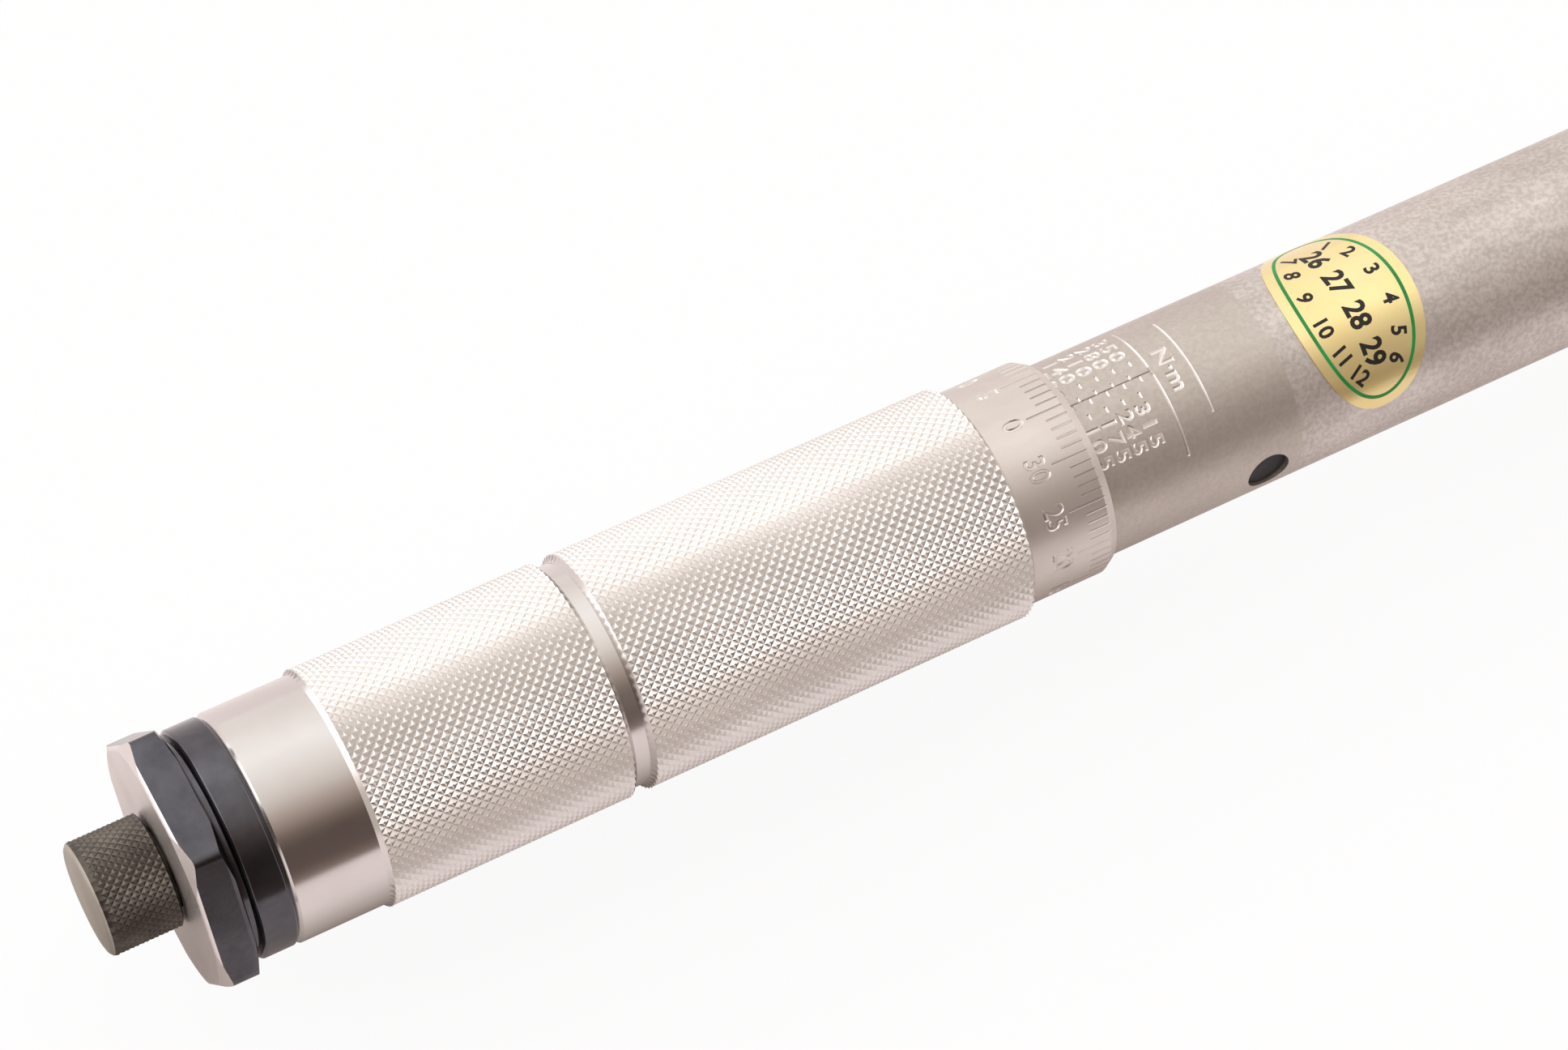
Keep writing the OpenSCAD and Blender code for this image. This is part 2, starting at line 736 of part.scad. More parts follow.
// Ratchet gear, its journals and the square drive in one piece
module drive_gear() {
    pitch = 360 / gear_teeth;
    root = gear_radius - tooth_depth;
    half = drive_square / 2;
    corner_shares = [-0.42, -0.12, 0.12, 0.42];
    color(chrome) difference() {
        union() {
            translate([0, 0, gear_bottom]) linear_extrude(height = gear_top - gear_bottom)
                polygon([for (i = [0 : gear_teeth - 1], k = [0 : 3])
                    let (a = (i + corner_shares[k]) * pitch,
                         r = k == 1 || k == 2 ? gear_radius : root)
                    [r * cos(a), r * sin(a)]]);
            cylinder_between(journal_radius, gear_top, cavity_top + journal_length - gap);
            cylinder_between(boss_radius, drive_length - gap, gear_bottom);
            square_bar(half);
        }
        translate([0, ball_lip - half, ball_height]) rotate([-90, 0, 0])
            cylinder(r = ball_radius + fit, h = half - ball_lip, $fn = small_fn);
        translate([0, -half - overrun, ball_height]) rotate([-90, 0, 0])
            cylinder(r = ball_mouth, h = half + overrun, $fn = small_fn);
    }
}

// Upright cylinder between two heights on the drive axis
module cylinder_between(radius, low, high) {
    translate([0, 0, low]) cylinder(r = radius, h = high - low);
}

// Square drive with chamfered tip and softened corners
module square_bar(half) {
    corner = half * sqrt(2) - drive_chamfer / 2;
    intersection() {
        translate([-half, -half, 0]) cube([2 * half, 2 * half, drive_length + fit]);
        rotate_extrude() polygon([
            [0, 0],
            [corner - 2 * drive_chamfer, 0],
            [corner, 2 * drive_chamfer],
            [corner, drive_length + overrun],
            [0, drive_length + overrun]]);
    }
}

// Sprung ball that holds a socket on the square drive
module detent_ball() {
    color(bare_steel) translate([0, -ball_centre, ball_height]) sphere(r = ball_radius, $fn = small_fn);
}

// Spring behind the detent ball
module detent_spring() {
    color(bare_steel) translate([0, 0, ball_height]) rotate([0, 0, -90])
        coil(fit, ball_centre - ball_radius - 2 * fit, ball_radius * spring_radius_share, ball_wire, ball_turns,
             small_rings, small_sides);
}

// Double-ended pawl, rocked toward one side and just clear of the gear's tips
module pawl() {
    height = gear_top - gear_bottom - 2 * gap;
    tip_circle = gear_radius + gap;
    color(bare_steel) translate([0, 0, gear_bottom + gap]) difference() {
        translate([pawl_x, 0, 0]) rotate([0, 0, pawl_rock / 2]) linear_extrude(height = height)
            difference() {
                translate([-pawl_back, -pawl_half]) square([pawl_pin_setback + 2 * pawl_back, 2 * pawl_half]);
                translate([-lever_setback, 0]) circle(r = lever_plunger_reach + gap);
                circle(r = pawl_pin_radius + fit, $fn = small_fn);
            }
        translate([0, 0, -overrun]) linear_extrude(height = height + 2 * overrun) {
            tip_circle_with_notches(tip_circle, 1);
            translate([pawl_x, 0]) rotate(pawl_rock) translate([-pawl_x, 0])
                tip_circle_with_notches(tip_circle, -1);
        }
    }
}

// Circle with a row of notches to one side, which leave the pawl's teeth
module tip_circle_with_notches(radius, side) {
    pitch = 360 / gear_teeth;
    half_notch = tooth_depth / 2;
    circle(r = radius);
    for (i = [1 : notch_count])
        rotate(180 + side * i * pitch)
            polygon([[radius - half_notch, -half_notch],
                     [radius + pawl_notch, 0],
                     [radius - half_notch, half_notch]]);
}

// Thumb lever on top of the head, with its shaft inside
module reversing_lever() {
    shaft_bottom = plate_top + gap;
    hole_z = (gear_bottom + gear_top) / 2;
    color(chrome) translate([lever_x, 0, 0]) rotate([0, 0, -lever_throw / 2]) difference() {
        union() {
            translate([0, 0, shaft_bottom]) cylinder(r = lever_shaft, h = head_top + gap - shaft_bottom + fit);
            translate([0, 0, head_top + gap]) cylinder(r = lever_hub, h = lever_height);
            translate([-lever_reach + lever_tab, -lever_tab, head_top + gap])
                cube([lever_reach - lever_tab, 2 * lever_tab, lever_height]);
            translate([-lever_reach + lever_tab, 0, head_top + gap])
                cylinder(r = lever_tab, h = lever_height + lever_tab / 2, $fn = small_fn);
        }
        translate([-lever_spring_back, 0, hole_z]) rotate([0, 90, 0])
            cylinder(r = lever_plunger_radius + fit, h = lever_shaft + lever_spring_back + overrun, $fn = small_fn);
        translate([0, 0, cavity_top - gap - lever_clip_thickness - fit]) difference() {
            cylinder(r = lever_shaft + overrun, h = lever_clip_thickness + 2 * fit);
            cylinder(r = lever_shaft * clip_groove_share, h = lever_clip_thickness + 2 * fit);
        }
    }
}

// Clip that keeps the lever's shaft in the head
module lever_clip() {
    color(bare_steel) translate([lever_x, 0, cavity_top - gap - lever_clip_thickness])
        rotate([0, 0, -lever_throw / 2]) difference() {
            cylinder(r = lever_clip_radius, h = lever_clip_thickness);
            translate([0, 0, -overrun])
                cylinder(r = lever_shaft * clip_groove_share + fit, h = lever_clip_thickness + 2 * overrun);
            translate([-lever_clip_radius - overrun, -lever_shaft / 2, -overrun])
                cube([lever_clip_radius + overrun, lever_shaft, lever_clip_thickness + 2 * overrun]);
        }
}

// Round-nosed plunger in the lever's shaft that presses on the pawl
module lever_plunger() {
    nose = lever_plunger_radius;
    color(bare_steel) translate([lever_x, 0, (gear_bottom + gear_top) / 2]) rotate([0, 0, -lever_throw / 2])
        rotate([0, 90, 0]) rotate_extrude($fn = small_fn) polygon(concat(
            [[0, lever_spring_front], [nose, lever_spring_front]],
            [for (a = [0 : 15 : 90]) [nose * cos(a), lever_plunger_reach - nose + nose * sin(a)]]));
}

// Spring behind that plunger
module lever_spring() {
    color(bare_steel) translate([lever_x, 0, (gear_bottom + gear_top) / 2]) rotate([0, 0, -lever_throw / 2])
        coil(-lever_spring_back, lever_spring_back + lever_spring_front,
             lever_plunger_radius * spring_radius_share, small_wire, small_turns, small_rings, small_sides);
}

tube();
screw_nut();
nut_pins();
pivot_pin();
inspection_label();
grip_sleeve();
end_cap();
adjusting_screw();
lock_rod();
lock_knob();
knob_pin();
rear_spring_seat();
thrust_ball();
main_spring();
spring_washer();
push_rod();
plunger();
toggle_block();
ratchet_head();
cover_plate();
cover_screws();
pawl_pin();
drive_gear();
detent_ball();
detent_spring();
pawl();
reversing_lever();
lever_clip();
lever_plunger();
lever_spring();
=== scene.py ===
"""Micrometer torque wrench: knurled handle, graduated thimble, engraved tube, label and ratchet head.

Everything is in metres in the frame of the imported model. The tube lies along X, the handle at negative X,
and the scale and the reversing lever face up. Helpers take millimetres.
"""

import math

import bpy
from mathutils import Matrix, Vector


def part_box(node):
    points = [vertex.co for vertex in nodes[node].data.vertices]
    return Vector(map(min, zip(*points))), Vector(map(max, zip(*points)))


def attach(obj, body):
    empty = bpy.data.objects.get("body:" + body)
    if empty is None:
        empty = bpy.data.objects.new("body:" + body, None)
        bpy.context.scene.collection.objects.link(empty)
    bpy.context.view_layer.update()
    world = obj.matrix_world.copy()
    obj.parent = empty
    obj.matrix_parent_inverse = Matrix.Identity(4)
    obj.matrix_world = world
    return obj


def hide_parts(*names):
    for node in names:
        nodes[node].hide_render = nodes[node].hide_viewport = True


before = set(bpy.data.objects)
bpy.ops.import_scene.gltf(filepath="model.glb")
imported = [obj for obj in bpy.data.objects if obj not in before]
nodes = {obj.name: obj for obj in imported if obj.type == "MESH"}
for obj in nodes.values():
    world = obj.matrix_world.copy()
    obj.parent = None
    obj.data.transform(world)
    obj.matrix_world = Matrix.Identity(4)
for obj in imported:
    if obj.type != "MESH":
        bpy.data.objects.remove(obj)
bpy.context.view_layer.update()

MM = 0.001
MERGE = 1e-6


def middle_of(node, axis):
    """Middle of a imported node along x, y or z, in mm."""
    low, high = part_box(node)
    return (getattr(low, axis) + getattr(high, axis)) / 2 / MM


def half_of(node, axis):
    """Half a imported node's size along x, y or z, in mm: the radius of a round one."""
    low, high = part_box(node)
    return (getattr(high, axis) - getattr(low, axis)) / 2 / MM


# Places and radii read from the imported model, in mm
AXIS_Z = middle_of("tube", "z")
TUBE_RADIUS = half_of("tube", "z")
TUBE_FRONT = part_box("tube")[1].x / MM
TUBE_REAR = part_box("tube")[0].x / MM
THIMBLE_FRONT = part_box("grip_sleeve")[1].x / MM
SLEEVE_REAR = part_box("grip_sleeve")[0].x / MM
GRIP_RADIUS = half_of("grip_sleeve", "z")
CAP_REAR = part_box("end_cap")[0].x / MM
KNOB_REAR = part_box("lock_knob")[0].x / MM
KNOB_RADIUS = half_of("lock_knob", "z")
PIN_HOLE_X = middle_of("nut_pins", "x")
PIN_RADIUS = half_of("nut_pins", "x")
LABEL_X = middle_of("inspection_label", "x")
PIVOT_X = middle_of("pivot_pin", "x")
PIVOT_RADIUS = half_of("pivot_pin", "x")

# The same as in the CAD, in mm
TUBE_WALL = 2.0
THIMBLE_RADIUS = 14.1
SLEEVE_PLAY = 0.08
SLEEVE_BORE = TUBE_RADIUS + SLEEVE_PLAY


# ---------- working by hand in Blender ----------

def work_on(*pieces):
    """Only these pieces are selected, and the first is the one worked on."""
    if bpy.context.mode != "OBJECT":
        bpy.ops.object.mode_set(mode="OBJECT")
    bpy.ops.object.select_all(action="DESELECT")
    for piece in pieces:
        piece.select_set(True)
    bpy.context.view_layer.objects.active = pieces[0] if pieces else None


def settle(piece, name=None):
    """The piece's place goes into its mesh, with its doubles merged and its faces outward."""
    work_on(piece)
    bpy.ops.object.transform_apply(location=True, rotation=True, scale=True)
    bpy.ops.object.mode_set(mode="EDIT")
    bpy.ops.mesh.select_all(action="SELECT")
    bpy.ops.mesh.remove_doubles(threshold=MERGE)
    bpy.ops.mesh.normals_make_consistent(inside=False)
    bpy.ops.object.mode_set(mode="OBJECT")
    if name:
        piece.name = piece.data.name = name
    return piece


def pick_points(piece, wanted):
    """Selects the mesh points for which wanted(x, y, z in mm) is true, and opens edit mode."""
    work_on(piece)
    bpy.ops.object.mode_set(mode="EDIT")
    bpy.ops.mesh.select_mode(type="VERT")
    bpy.ops.mesh.select_all(action="DESELECT")
    bpy.ops.object.mode_set(mode="OBJECT")
    for point in piece.data.vertices:
        point.select = wanted(*(point.co / MM))
    bpy.ops.object.mode_set(mode="EDIT")


def turned(name, outline, sides, solid=False):
    """Ring turned round the tube's axis from an outline of (place along X, radius), closed unless solid."""
    work_on()
    x, radius = outline[0]
    bpy.ops.mesh.primitive_circle_add(vertices=sides, radius=radius * MM,
                                      fill_type="NGON" if solid else "NOTHING",
                                      location=(x * MM, 0, AXIS_Z * MM), rotation=(0, math.radians(90), 0))
    piece = bpy.context.object
    bpy.ops.object.transform_apply(location=True, rotation=True, scale=True)
    bpy.ops.object.mode_set(mode="EDIT")
    bpy.ops.mesh.select_all(action="SELECT")
    for next_x, next_radius in outline[1:] if solid else outline[1:] + outline[:1]:
        bpy.ops.mesh.extrude_region_move(TRANSFORM_OT_translate={"value": ((next_x - x) * MM, 0, 0)})
        if next_radius != radius:
            grow = next_radius / radius
            bpy.ops.transform.resize(value=(1, grow, grow), center_override=(next_x * MM, 0, AXIS_Z * MM))
        x, radius = next_x, next_radius
    return settle(piece, name)


def joined(name, *pieces):
    """Several meshes made one piece, without touching their shapes."""
    work_on(*pieces)
    if len(pieces) > 1:
        bpy.ops.object.join()
    piece = bpy.context.object
    piece.name = piece.data.name = name
    return piece


def cut(piece, cutter, operation="DIFFERENCE"):
    """Cuts with the cutter's shape, or keeps what is inside it. The cutter is then gone."""
    work_on(piece)
    boolean = piece.modifiers.new("cut", "BOOLEAN")
    boolean.operation = operation
    boolean.object = cutter
    boolean.solver = "EXACT"
    boolean.use_self = True
    bpy.ops.object.modifier_apply(modifier=boolean.name)
    bpy.data.objects.remove(cutter)
    return piece


def eased(piece, width, segments=2, angle=35):
    """Breaks the sharp edges with a small rounding, in mm."""
    work_on(piece)
    bevel = piece.modifiers.new("eased", "BEVEL")
    bevel.width = width * MM
    bevel.segments = segments
    bevel.limit_method = "ANGLE"
    bevel.angle_limit = math.radians(angle)
    bevel.harden_normals = False
    bpy.ops.object.modifier_apply(modifier=bevel.name)
    return piece


def smoothed(piece, angle=30):
    """Shades the piece smooth, with edges sharper than the angle kept crisp."""
    work_on(piece)
    bpy.ops.object.shade_smooth_by_angle(angle=math.radians(angle))
    return piece


def evened(piece):
    """Large flat faces keep their own direction beside small roundings, so that they mirror as flats do."""
    work_on(piece)
    weighted = piece.modifiers.new("evened", "WEIGHTED_NORMAL")
    weighted.mode = "FACE_AREA"
    weighted.weight = 80
    weighted.keep_sharp = True
    bpy.ops.object.modifier_apply(modifier=weighted.name)
    return piece


def wrapped(piece, radius):
    """Bends a flat piece round the tube: its Y becomes the way round from the top, and its Z the height."""
    for point in piece.data.vertices:
        turn = point.co.y / (radius * MM)
        reach = radius * MM + point.co.z
        point.co.y = reach * math.sin(turn)
        point.co.z = AXIS_Z * MM + reach * math.cos(turn)
    return piece


def sliced(piece, places):
    """Cuts a flat piece across at these places on Y, in metres, so that it can bend round the tube."""
    work_on(piece)
    bpy.ops.object.mode_set(mode="EDIT")
    for y in places:
        bpy.ops.mesh.select_all(action="SELECT")
        bpy.ops.mesh.bisect(plane_co=(0, y, 0), plane_no=(0, 1, 0))
    bpy.ops.object.mode_set(mode="OBJECT")
    return piece


def block(x, y, z, size_x, size_y, size_z):
    """Plain block from its centre and size, the start of a cutter."""
    work_on()
    bpy.ops.mesh.primitive_cube_add(size=MM, location=(x * MM, y * MM, z * MM), scale=(size_x, size_y, size_z))
    bpy.ops.object.transform_apply(location=True, rotation=True, scale=True)
    return bpy.context.object


# ---------- figures and strokes, drawn flat with the figures' tops toward the head ----------

FIGURE_EM = 0.729       # height of a figure of the built-in font at size 1
FIGURE_STEP = 0.636     # advance of a figure at size 1
CUTTER_HALF = 0.4       # half the height of an engraving cutter's upright part
CUTTER_SINK = 0.02      # how far that part dips under the surface
GROOVE_TAPER = 0.8      # share of its width that a groove loses down to its floor
BEND_STEP = 1.2         # length round the tube that a groove's cutter may span without a bend
WALL_TOP, WALL_FOOT = -0.006, -0.4      # heights between which a face is part of an engraving


def figures(words, x, s, height, step, lean=0.0, bold=0.0, middle=False, flank=0.0,
            thickness=2 * CUTTER_HALF, lift=0.0):
    """Figures on the flat: x is their foot or middle along the tube, s the way round toward -Y, in mm. A flank
    makes them cutters whose sides slope to that depth."""
    work_on()
    size = height / FIGURE_EM
    turn = math.radians(lean - 90)
    drop = height / 2 if middle else 0
    x, y = x + drop * math.sin(turn), -s - drop * math.cos(turn)
    bpy.ops.object.text_add(location=(x * MM, y * MM, lift * MM), rotation=(0, 0, turn))
    piece = bpy.context.object
    piece.data.body = words
    piece.data.size = size * MM
    piece.data.resolution_u = 3
    piece.data.align_x = "CENTER"
    piece.data.offset = bold * MM
    piece.data.extrude = thickness / 2 * MM
    piece.data.bevel_depth = flank * MM
    piece.data.bevel_resolution = 0
    piece.scale = (step / (FIGURE_STEP * size), 1, 1)
    bpy.ops.object.convert(target="MESH")
    return settle(bpy.context.object)


def engraved(words, x, s, height, step, depth, bold=0.0):
    """Cutter for stamped figures."""
    return figures(words, x, s, height, step, bold=bold, flank=depth, lift=CUTTER_HALF - CUTTER_SINK)


def groove(x0, x1, s0, s1, depth):
    """Cutter for a stroke between two places along the tube and round it: upright above the surface, and
    narrowing to a flat floor below it."""
    long, wide = abs(x1 - x0), abs(s1 - s0)
    loss = GROOVE_TAPER * min(long, wide)
    piece = block((x0 + x1) / 2, -(s0 + s1) / 2, CUTTER_HALF - CUTTER_SINK, long, wide, 2 * CUTTER_HALF)
    pick_points(piece, lambda x, y, z: z < 0)
    bpy.ops.mesh.extrude_region_move(TRANSFORM_OT_translate={"value": (0, 0, -depth * MM)})
    bpy.ops.transform.resize(value=(1 - loss / long, 1 - loss / wide, 1),
                             center_override=((x0 + x1) / 2 * MM, -(s0 + s1) / 2 * MM, 0))
    bends = int(wide / BEND_STEP)
    return sliced(piece, [-(s0 + (s1 - s0) * i / bends) * MM for i in range(1, bends)])


def copied(piece, along, around=0.0):
    """Copy of a flat cutter, moved along the tube and round it, in mm, with its own mesh."""
    work_on(piece)
    bpy.ops.object.duplicate(linked=False)
    bpy.ops.transform.translate(value=(along * MM, -around * MM, 0))
    return bpy.context.object


def burnish(piece, index, radius_at):
    """Gives the walls of the engraving their own finish: the faces a little under the surface."""
    for face in piece.data.polygons:
        x, y, z = face.center / MM
        if WALL_FOOT < math.hypot(y, z - AXIS_Z) - radius_at(x, y) < WALL_TOP:
            face.material_index = index


# ---------- knurl ----------

ON_RING = 0.02          # a point this near a band's radius is one of its ring points
BAND_MARGIN = 0.05      # tips this near a band's end stay pointed


def knurl_rings(x0, x1, radius, grooves):
    """Places of the rings of a diamond knurl, half a diamond apart."""
    half_pitch = math.pi * radius / grooves
    steps = max(2, round(abs(x1 - x0) / half_pitch))
    return [(x0 + (x1 - x0) * i / steps, radius) for i in range(steps + 1)]


def knurl(piece, rings, radius, depth, grooves, tip):
    """Presses the diamond knurl into rings of 2 x grooves points, then flattens the tips of the diamonds."""
    first, last = rings[0][0], rings[-1][0]
    step = (last - first) / (len(rings) - 1)

    def parity(x, y, z):
        place = round((x - first) / step)
        if not 0 <= place < len(rings) or abs(math.hypot(y, z - AXIS_Z) - radius) > ON_RING:
            return None
        return (place + round(math.atan2(y, z - AXIS_Z) * grooves / math.pi)) % 2

    pick_points(piece, lambda x, y, z: parity(x, y, z) == 0)
    shrink = (radius - depth) / radius
    bpy.ops.transform.resize(value=(1, shrink, shrink), center_override=(0, 0, AXIS_Z * MM))
    bpy.ops.object.mode_set(mode="OBJECT")
    low, high = min(first, last), max(first, last)
    pick_points(piece, lambda x, y, z: low - BAND_MARGIN < x < high + BAND_MARGIN
                and math.hypot(y, z - AXIS_Z) > radius - depth - ON_RING)
    bpy.ops.mesh.select_mode(type="FACE")
    bpy.ops.mesh.quads_convert_to_tris(quad_method="SHORTEST_DIAGONAL")
    pick_points(piece, lambda x, y, z: low + BAND_MARGIN < x < high - BAND_MARGIN and parity(x, y, z) == 1)
    bpy.ops.mesh.bevel(offset=tip * MM, segments=1, affect="VERTICES")
    bpy.ops.object.mode_set(mode="OBJECT")
    return piece


# ---------- materials ----------

GRAIN = 0.3             # grain of the blasted and oxidised finishes as drawn, in mm, coarser than the real one


def paint(hex_colour):
    """Linear colour from an sRGB hex value."""
    values = [int(hex_colour[i:i + 2], 16) / 255 for i in (1, 3, 5)]
    return (*[v / 12.92 if v <= 0.04045 else ((v + 0.055) / 1.055) ** 2.4 for v in values], 1.0)


def add(owner, kind, inputs=None, stops=(), **settings):
    """Adds a node to a material or world, with its settings, values, links and colour stops."""
    made = owner.node_tree.nodes.new(kind)
    for name, value in settings.items():
        setattr(made, name, value)
    for _ in stops[2:]:
        made.color_ramp.elements.new(0.5)
    for element, (place, colour) in zip(made.color_ramp.elements if stops else (), stops):
        element.position = place
        element.color = paint(colour) if isinstance(colour, str) else (colour, colour, colour, 1.0)
    for socket, value in (inputs or {}).items():
        if isinstance(value, bpy.types.NodeSocket):
            owner.node_tree.links.new(value, made.inputs[socket])
        else:
            made.inputs[socket].default_value = value
    return made


def blank(name):
    """Empty material."""
    material = bpy.data.materials.new(name)
    material.use_nodes = True
    material.node_tree.nodes.clear()
    return material


def noise_scale(patch_mm):
    """Scale at which a noise texture's patches are about this wide."""
    return 0.5 / (patch_mm * MM)


def satin_chrome(name, light, dark, cloud_mm, smooth, rough, grain_depth, speck="#ffffff"):
    """Matt hard chrome on drawn steel tube, blasted before plating: soft grey with clouds where the plating
    took unevenly, drawn out lengthwise as the tube was, and a fine grain that spreads the highlights. The real
    grain is a tenth of a millimetre or less. It is drawn 0.3 mm wide so that it shows."""
    material = blank(name)
    place = add(material, "ShaderNodeTexCoord").outputs["Object"]
    drawn = add(material, "ShaderNodeMapping", {"Vector": place, "Scale": (0.4, 1.0, 1.0)}).outputs["Vector"]
    clouds = add(material, "ShaderNodeTexNoise", {"Vector": drawn, "Scale": noise_scale(cloud_mm),
                                                  "Detail": 8.0, "Roughness": 0.68,
                                                  "Distortion": 0.15}).outputs["Fac"]
    specks = add(material, "ShaderNodeTexNoise", {"Vector": place, "Scale": noise_scale(GRAIN), "Detail": 3.0,
                                                  "Roughness": 0.55}).outputs["Fac"]
    cloudy = add(material, "ShaderNodeValToRGB", {"Fac": clouds}, stops=[(0.36, dark), (0.64, light)])
    speckled = add(material, "ShaderNodeValToRGB", {"Fac": specks}, stops=[(0.38, speck), (0.62, "#ffffff")])
    colour = add(material, "ShaderNodeMix", {0: 1.0, 6: cloudy.outputs["Color"], 7: speckled.outputs["Color"]},
                 data_type="RGBA", blend_type="MULTIPLY")
    dull = add(material, "ShaderNodeValToRGB", {"Fac": clouds}, stops=[(0.35, rough), (0.65, smooth)])
    grain = add(material, "ShaderNodeBump", {"Height": specks, "Strength": 1.0, "Distance": grain_depth * MM})
    shader = add(material, "ShaderNodeBsdfPrincipled", {"Base Color": colour.outputs[2], "Metallic": 1.0,
                                                        "Roughness": dull.outputs["Color"],
                                                        "Normal": grain.outputs["Normal"]})
    add(material, "ShaderNodeOutputMaterial", {"Surface": shader.outputs[0]})
    return material


def turned_chrome(name, light, dark, roughness, feed_mm, feed_depth):
    """Bright chrome on a face from the lathe: the tool's fine rings run round the axis and smear the
    reflections along it."""
    material = blank(name)
    place = add(material, "ShaderNodeTexCoord").outputs["Object"]
    along = add(material, "ShaderNodeMapping", {"Vector": place, "Scale": (1.0, 0.02, 0.02)}).outputs["Vector"]
    rings = add(material, "ShaderNodeTexNoise", {"Vector": along, "Scale": noise_scale(feed_mm), "Detail": 2.0,
                                                 "Roughness": 0.55}).outputs["Fac"]
    stains = add(material, "ShaderNodeTexNoise", {"Vector": place, "Scale": noise_scale(7.0), "Detail": 5.0,
                                                  "Roughness": 0.55}).outputs["Fac"]
    colour = add(material, "ShaderNodeValToRGB", {"Fac": stains}, stops=[(0.3, dark), (0.7, light)])
    dull = add(material, "ShaderNodeValToRGB", {"Fac": stains},
               stops=[(0.3, roughness * 1.25), (0.7, roughness * 0.85)])
    feed = add(material, "ShaderNodeBump", {"Height": rings, "Strength": 1.0, "Distance": feed_depth * MM})
    shader = add(material, "ShaderNodeBsdfPrincipled", {"Base Color": colour.outputs["Color"], "Metallic": 1.0,
                                                        "Roughness": dull.outputs["Color"],
                                                        "Normal": feed.outputs["Normal"]})
    add(material, "ShaderNodeOutputMaterial", {"Surface": shader.outputs[0]})
    return material


def black_oxide(name, deep, rubbed, roughness, grain_depth=0.004):
    """Hot black oxide on machined steel, oiled: near black and shining, with greyer patches where hands rub it.
    Its grain is drawn 0.3 mm wide, coarser than the real one, so that it shows."""
    material = blank(name)
    place = add(material, "ShaderNodeTexCoord").outputs["Object"]
    wear = add(material, "ShaderNodeTexNoise", {"Vector": place, "Scale": noise_scale(5.0), "Detail": 5.0,
                                                "Roughness": 0.65}).outputs["Fac"]
    grain = add(material, "ShaderNodeTexNoise", {"Vector": place, "Scale": noise_scale(GRAIN), "Detail": 2.0,
                                                 "Roughness": 0.55}).outputs["Fac"]
    colour = add(material, "ShaderNodeValToRGB", {"Fac": wear}, stops=[(0.35, deep), (0.75, rubbed)])
    dull = add(material, "ShaderNodeValToRGB", {"Fac": wear},
               stops=[(0.3, roughness * 1.15), (0.7, roughness * 0.85)])
    relief = add(material, "ShaderNodeBump", {"Height": grain, "Strength": 1.0, "Distance": grain_depth * MM})
    shader = add(material, "ShaderNodeBsdfPrincipled", {"Base Color": colour.outputs["Color"], "Metallic": 0.95,
                                                        "Roughness": dull.outputs["Color"],
                                                        "Normal": relief.outputs["Normal"]})
    add(material, "ShaderNodeOutputMaterial", {"Surface": shader.outputs[0]})
    return material


def bare_steel(name, light, dark, roughness, scratch_depth=0.0015):
    """Machined or ground steel without plating: grey, with fine scratches one way and a trace of oil stain. The
    scratches are drawn 0.25 mm apart, coarser than the real ones, so that they show."""
    material = blank(name)
    place = add(material, "ShaderNodeTexCoord").outputs["Object"]
    along = add(material, "ShaderNodeMapping", {"Vector": place, "Scale": (0.15, 1.0, 1.0)}).outputs["Vector"]
    scratches = add(material, "ShaderNodeTexNoise", {"Vector": along, "Scale": noise_scale(0.25), "Detail": 3.0,
                                                     "Roughness": 0.55}).outputs["Fac"]
    stains = add(material, "ShaderNodeTexNoise", {"Vector": place, "Scale": noise_scale(6.0), "Detail": 4.0,
                                                  "Roughness": 0.55}).outputs["Fac"]
    colour = add(material, "ShaderNodeValToRGB", {"Fac": stains}, stops=[(0.3, dark), (0.75, light)])
    dull = add(material, "ShaderNodeValToRGB", {"Fac": scratches},
               stops=[(0.3, roughness * 0.85), (0.7, roughness * 1.2)])
    relief = add(material, "ShaderNodeBump", {"Height": scratches, "Strength": 1.0,
                                              "Distance": scratch_depth * MM})
    shader = add(material, "ShaderNodeBsdfPrincipled", {"Base Color": colour.outputs["Color"], "Metallic": 1.0,
                                                        "Roughness": dull.outputs["Color"],
                                                        "Normal": relief.outputs["Normal"]})
    add(material, "ShaderNodeOutputMaterial", {"Surface": shader.outputs[0]})
    return material


def gold_foil():
    """Metallised polyester label, gold under clear film: smooth and pale yellow, a little wavy from its
    adhesive."""
    material = blank("gold_polyester_foil")
    place = add(material, "ShaderNodeTexCoord").outputs["Object"]
    waves = add(material, "ShaderNodeTexNoise", {"Vector": place, "Scale": noise_scale(8.0), "Detail": 2.0,
                                                 "Roughness": 0.55}).outputs["Fac"]
    colour = add(material, "ShaderNodeValToRGB", {"Fac": waves}, stops=[(0.3, "#e9d595"), (0.7, "#f2e1aa")])
    relief = add(material, "ShaderNodeBump", {"Height": waves, "Strength": 1.0, "Distance": 0.08 * MM})
    shader = add(material, "ShaderNodeBsdfPrincipled", {"Base Color": colour.outputs["Color"], "Metallic": 0.9,
                                                        "Roughness": 0.27, "Normal": relief.outputs["Normal"],
                                                        "Coat Weight": 0.4, "Coat Roughness": 0.12})
    add(material, "ShaderNodeOutputMaterial", {"Surface": shader.outputs[0]})
    return material


